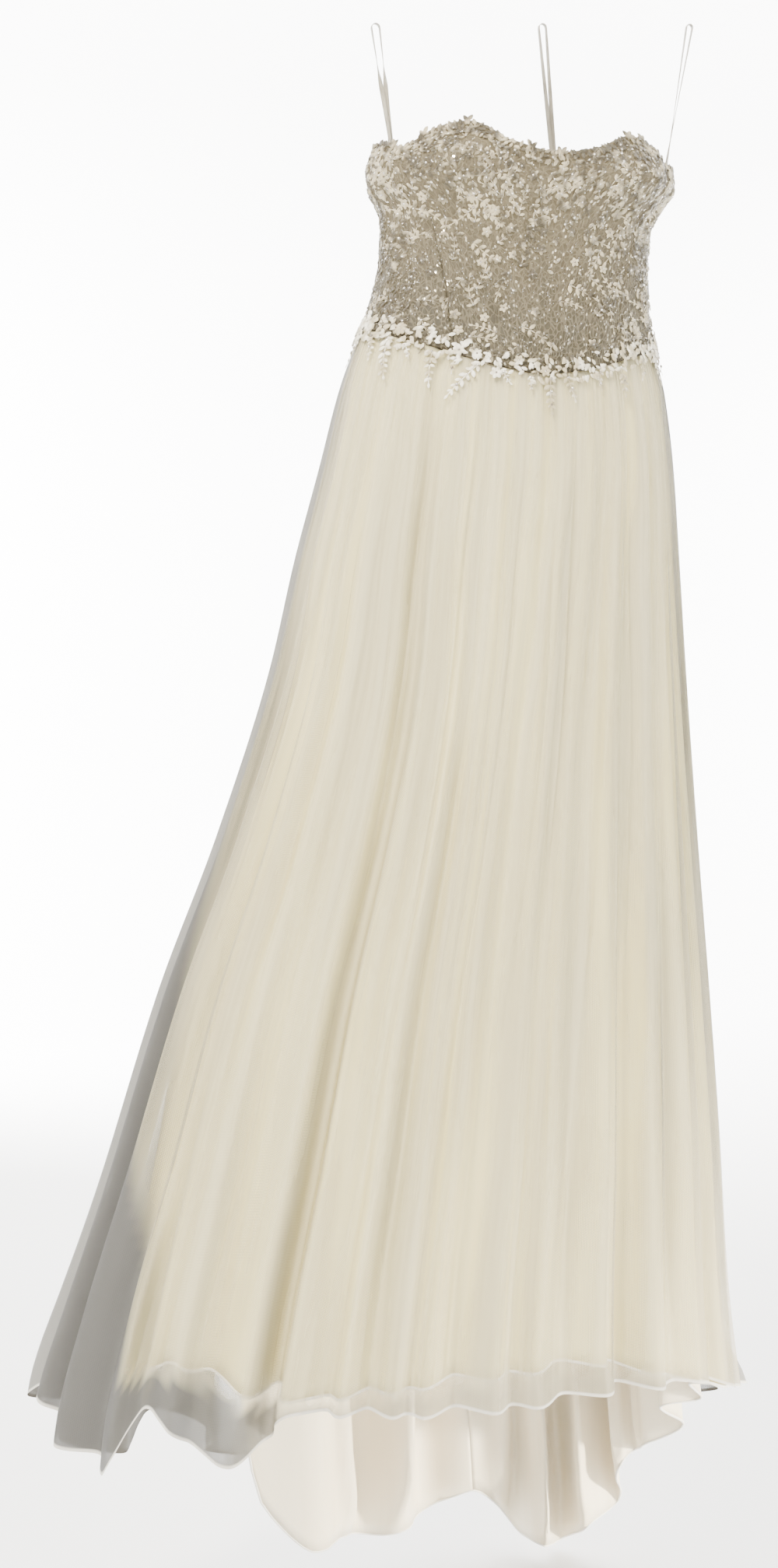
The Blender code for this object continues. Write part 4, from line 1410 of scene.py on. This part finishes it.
# %% Lay the ribbons
TAPE_WIDE = 0.005
TAPE_THICK = 0.0007
LOOP_SEWN = 0.020
LOOP_CLEAR = 0.004
TAPE_STEP = 0.0024
WALL_CLEAR = 0.0022
Loop = namedtuple("Loop", "side angle room top turn")
LOOPS = [
    Loop("left", -75.0, 0.0018, (-0.194, 0.0, -0.020), 0.0086),
    Loop("right", 65.0, 0.0018, (0.179, 0.0, 0.018), 0.0066),
    Loop("back", 156.0, 0.0010, (0.0, 0.0, 0.0), 0.0080),
]


def ribbon_lay(loop):
    """A laying function for a loop: across the ribbon, and along it from one sewn end to the other."""
    edge = float(neckline(loop.angle))
    along_wall = dress_point(loop.angle + 1.0, edge) - dress_point(loop.angle - 1.0, edge)
    along_wall /= np.linalg.norm(along_wall)
    inwards = np.array([-along_wall[1], along_wall[0], 0.0])
    half = loop.turn / 2
    top = np.array(loop.top)
    strands = []
    for side in (-1, 1):
        depth = WALL_CLEAR + loop.room + TAPE_STEP * (1 + side) / 2
        sewn = dress_point(loop.angle, edge - LOOP_SEWN) + inwards * depth
        brim = dress_point(loop.angle, edge) + inwards * depth + np.array([0.0, 0.0, LOOP_CLEAR])
        strands.append([sewn, brim, top + np.array([side * half, 0.0, -half])])
    bends = [math.pi * i / 10 for i in range(1, 10)]
    arc = [top + np.array([-half * math.cos(b), 0.0, half * (math.sin(b) - 1.0)]) for b in bends]
    path = np.array(strands[0] + arc + strands[1][::-1])
    gone = np.concatenate([[0.0], np.cumsum(np.linalg.norm(np.diff(path, axis=0), axis=1))])

    def lay(u, v):
        at = v * gone[-1]
        middle = np.stack([np.interp(at, gone, path[:, axis]) for axis in range(3)], axis=-1)
        rise = np.clip((middle[:, 2:3] - edge) / abs(top[2] - edge), 0.0, 1.0)
        wide = along_wall * (1.0 - rise) + np.array([0.0, 1.0, 0.0]) * rise
        wide /= np.linalg.norm(wide, axis=1, keepdims=True)
        return middle + wide * ((0.5 - u) * TAPE_WIDE)[:, None]

    return lay


for loop in LOOPS:
    ribbon = cloth(f"hanger_ribbon_{loop.side}", 4, 160, ribbon_lay(loop))
    thicken(ribbon, TAPE_THICK)
    wear(ribbon, ribbon_satin, "ribbon", f"hanger_loop_{loop.side}")

# %% Put the models away
for model in (leaf_model, bead_model, small_bead_model):
    bpy.data.objects.remove(model, do_unlink=True)
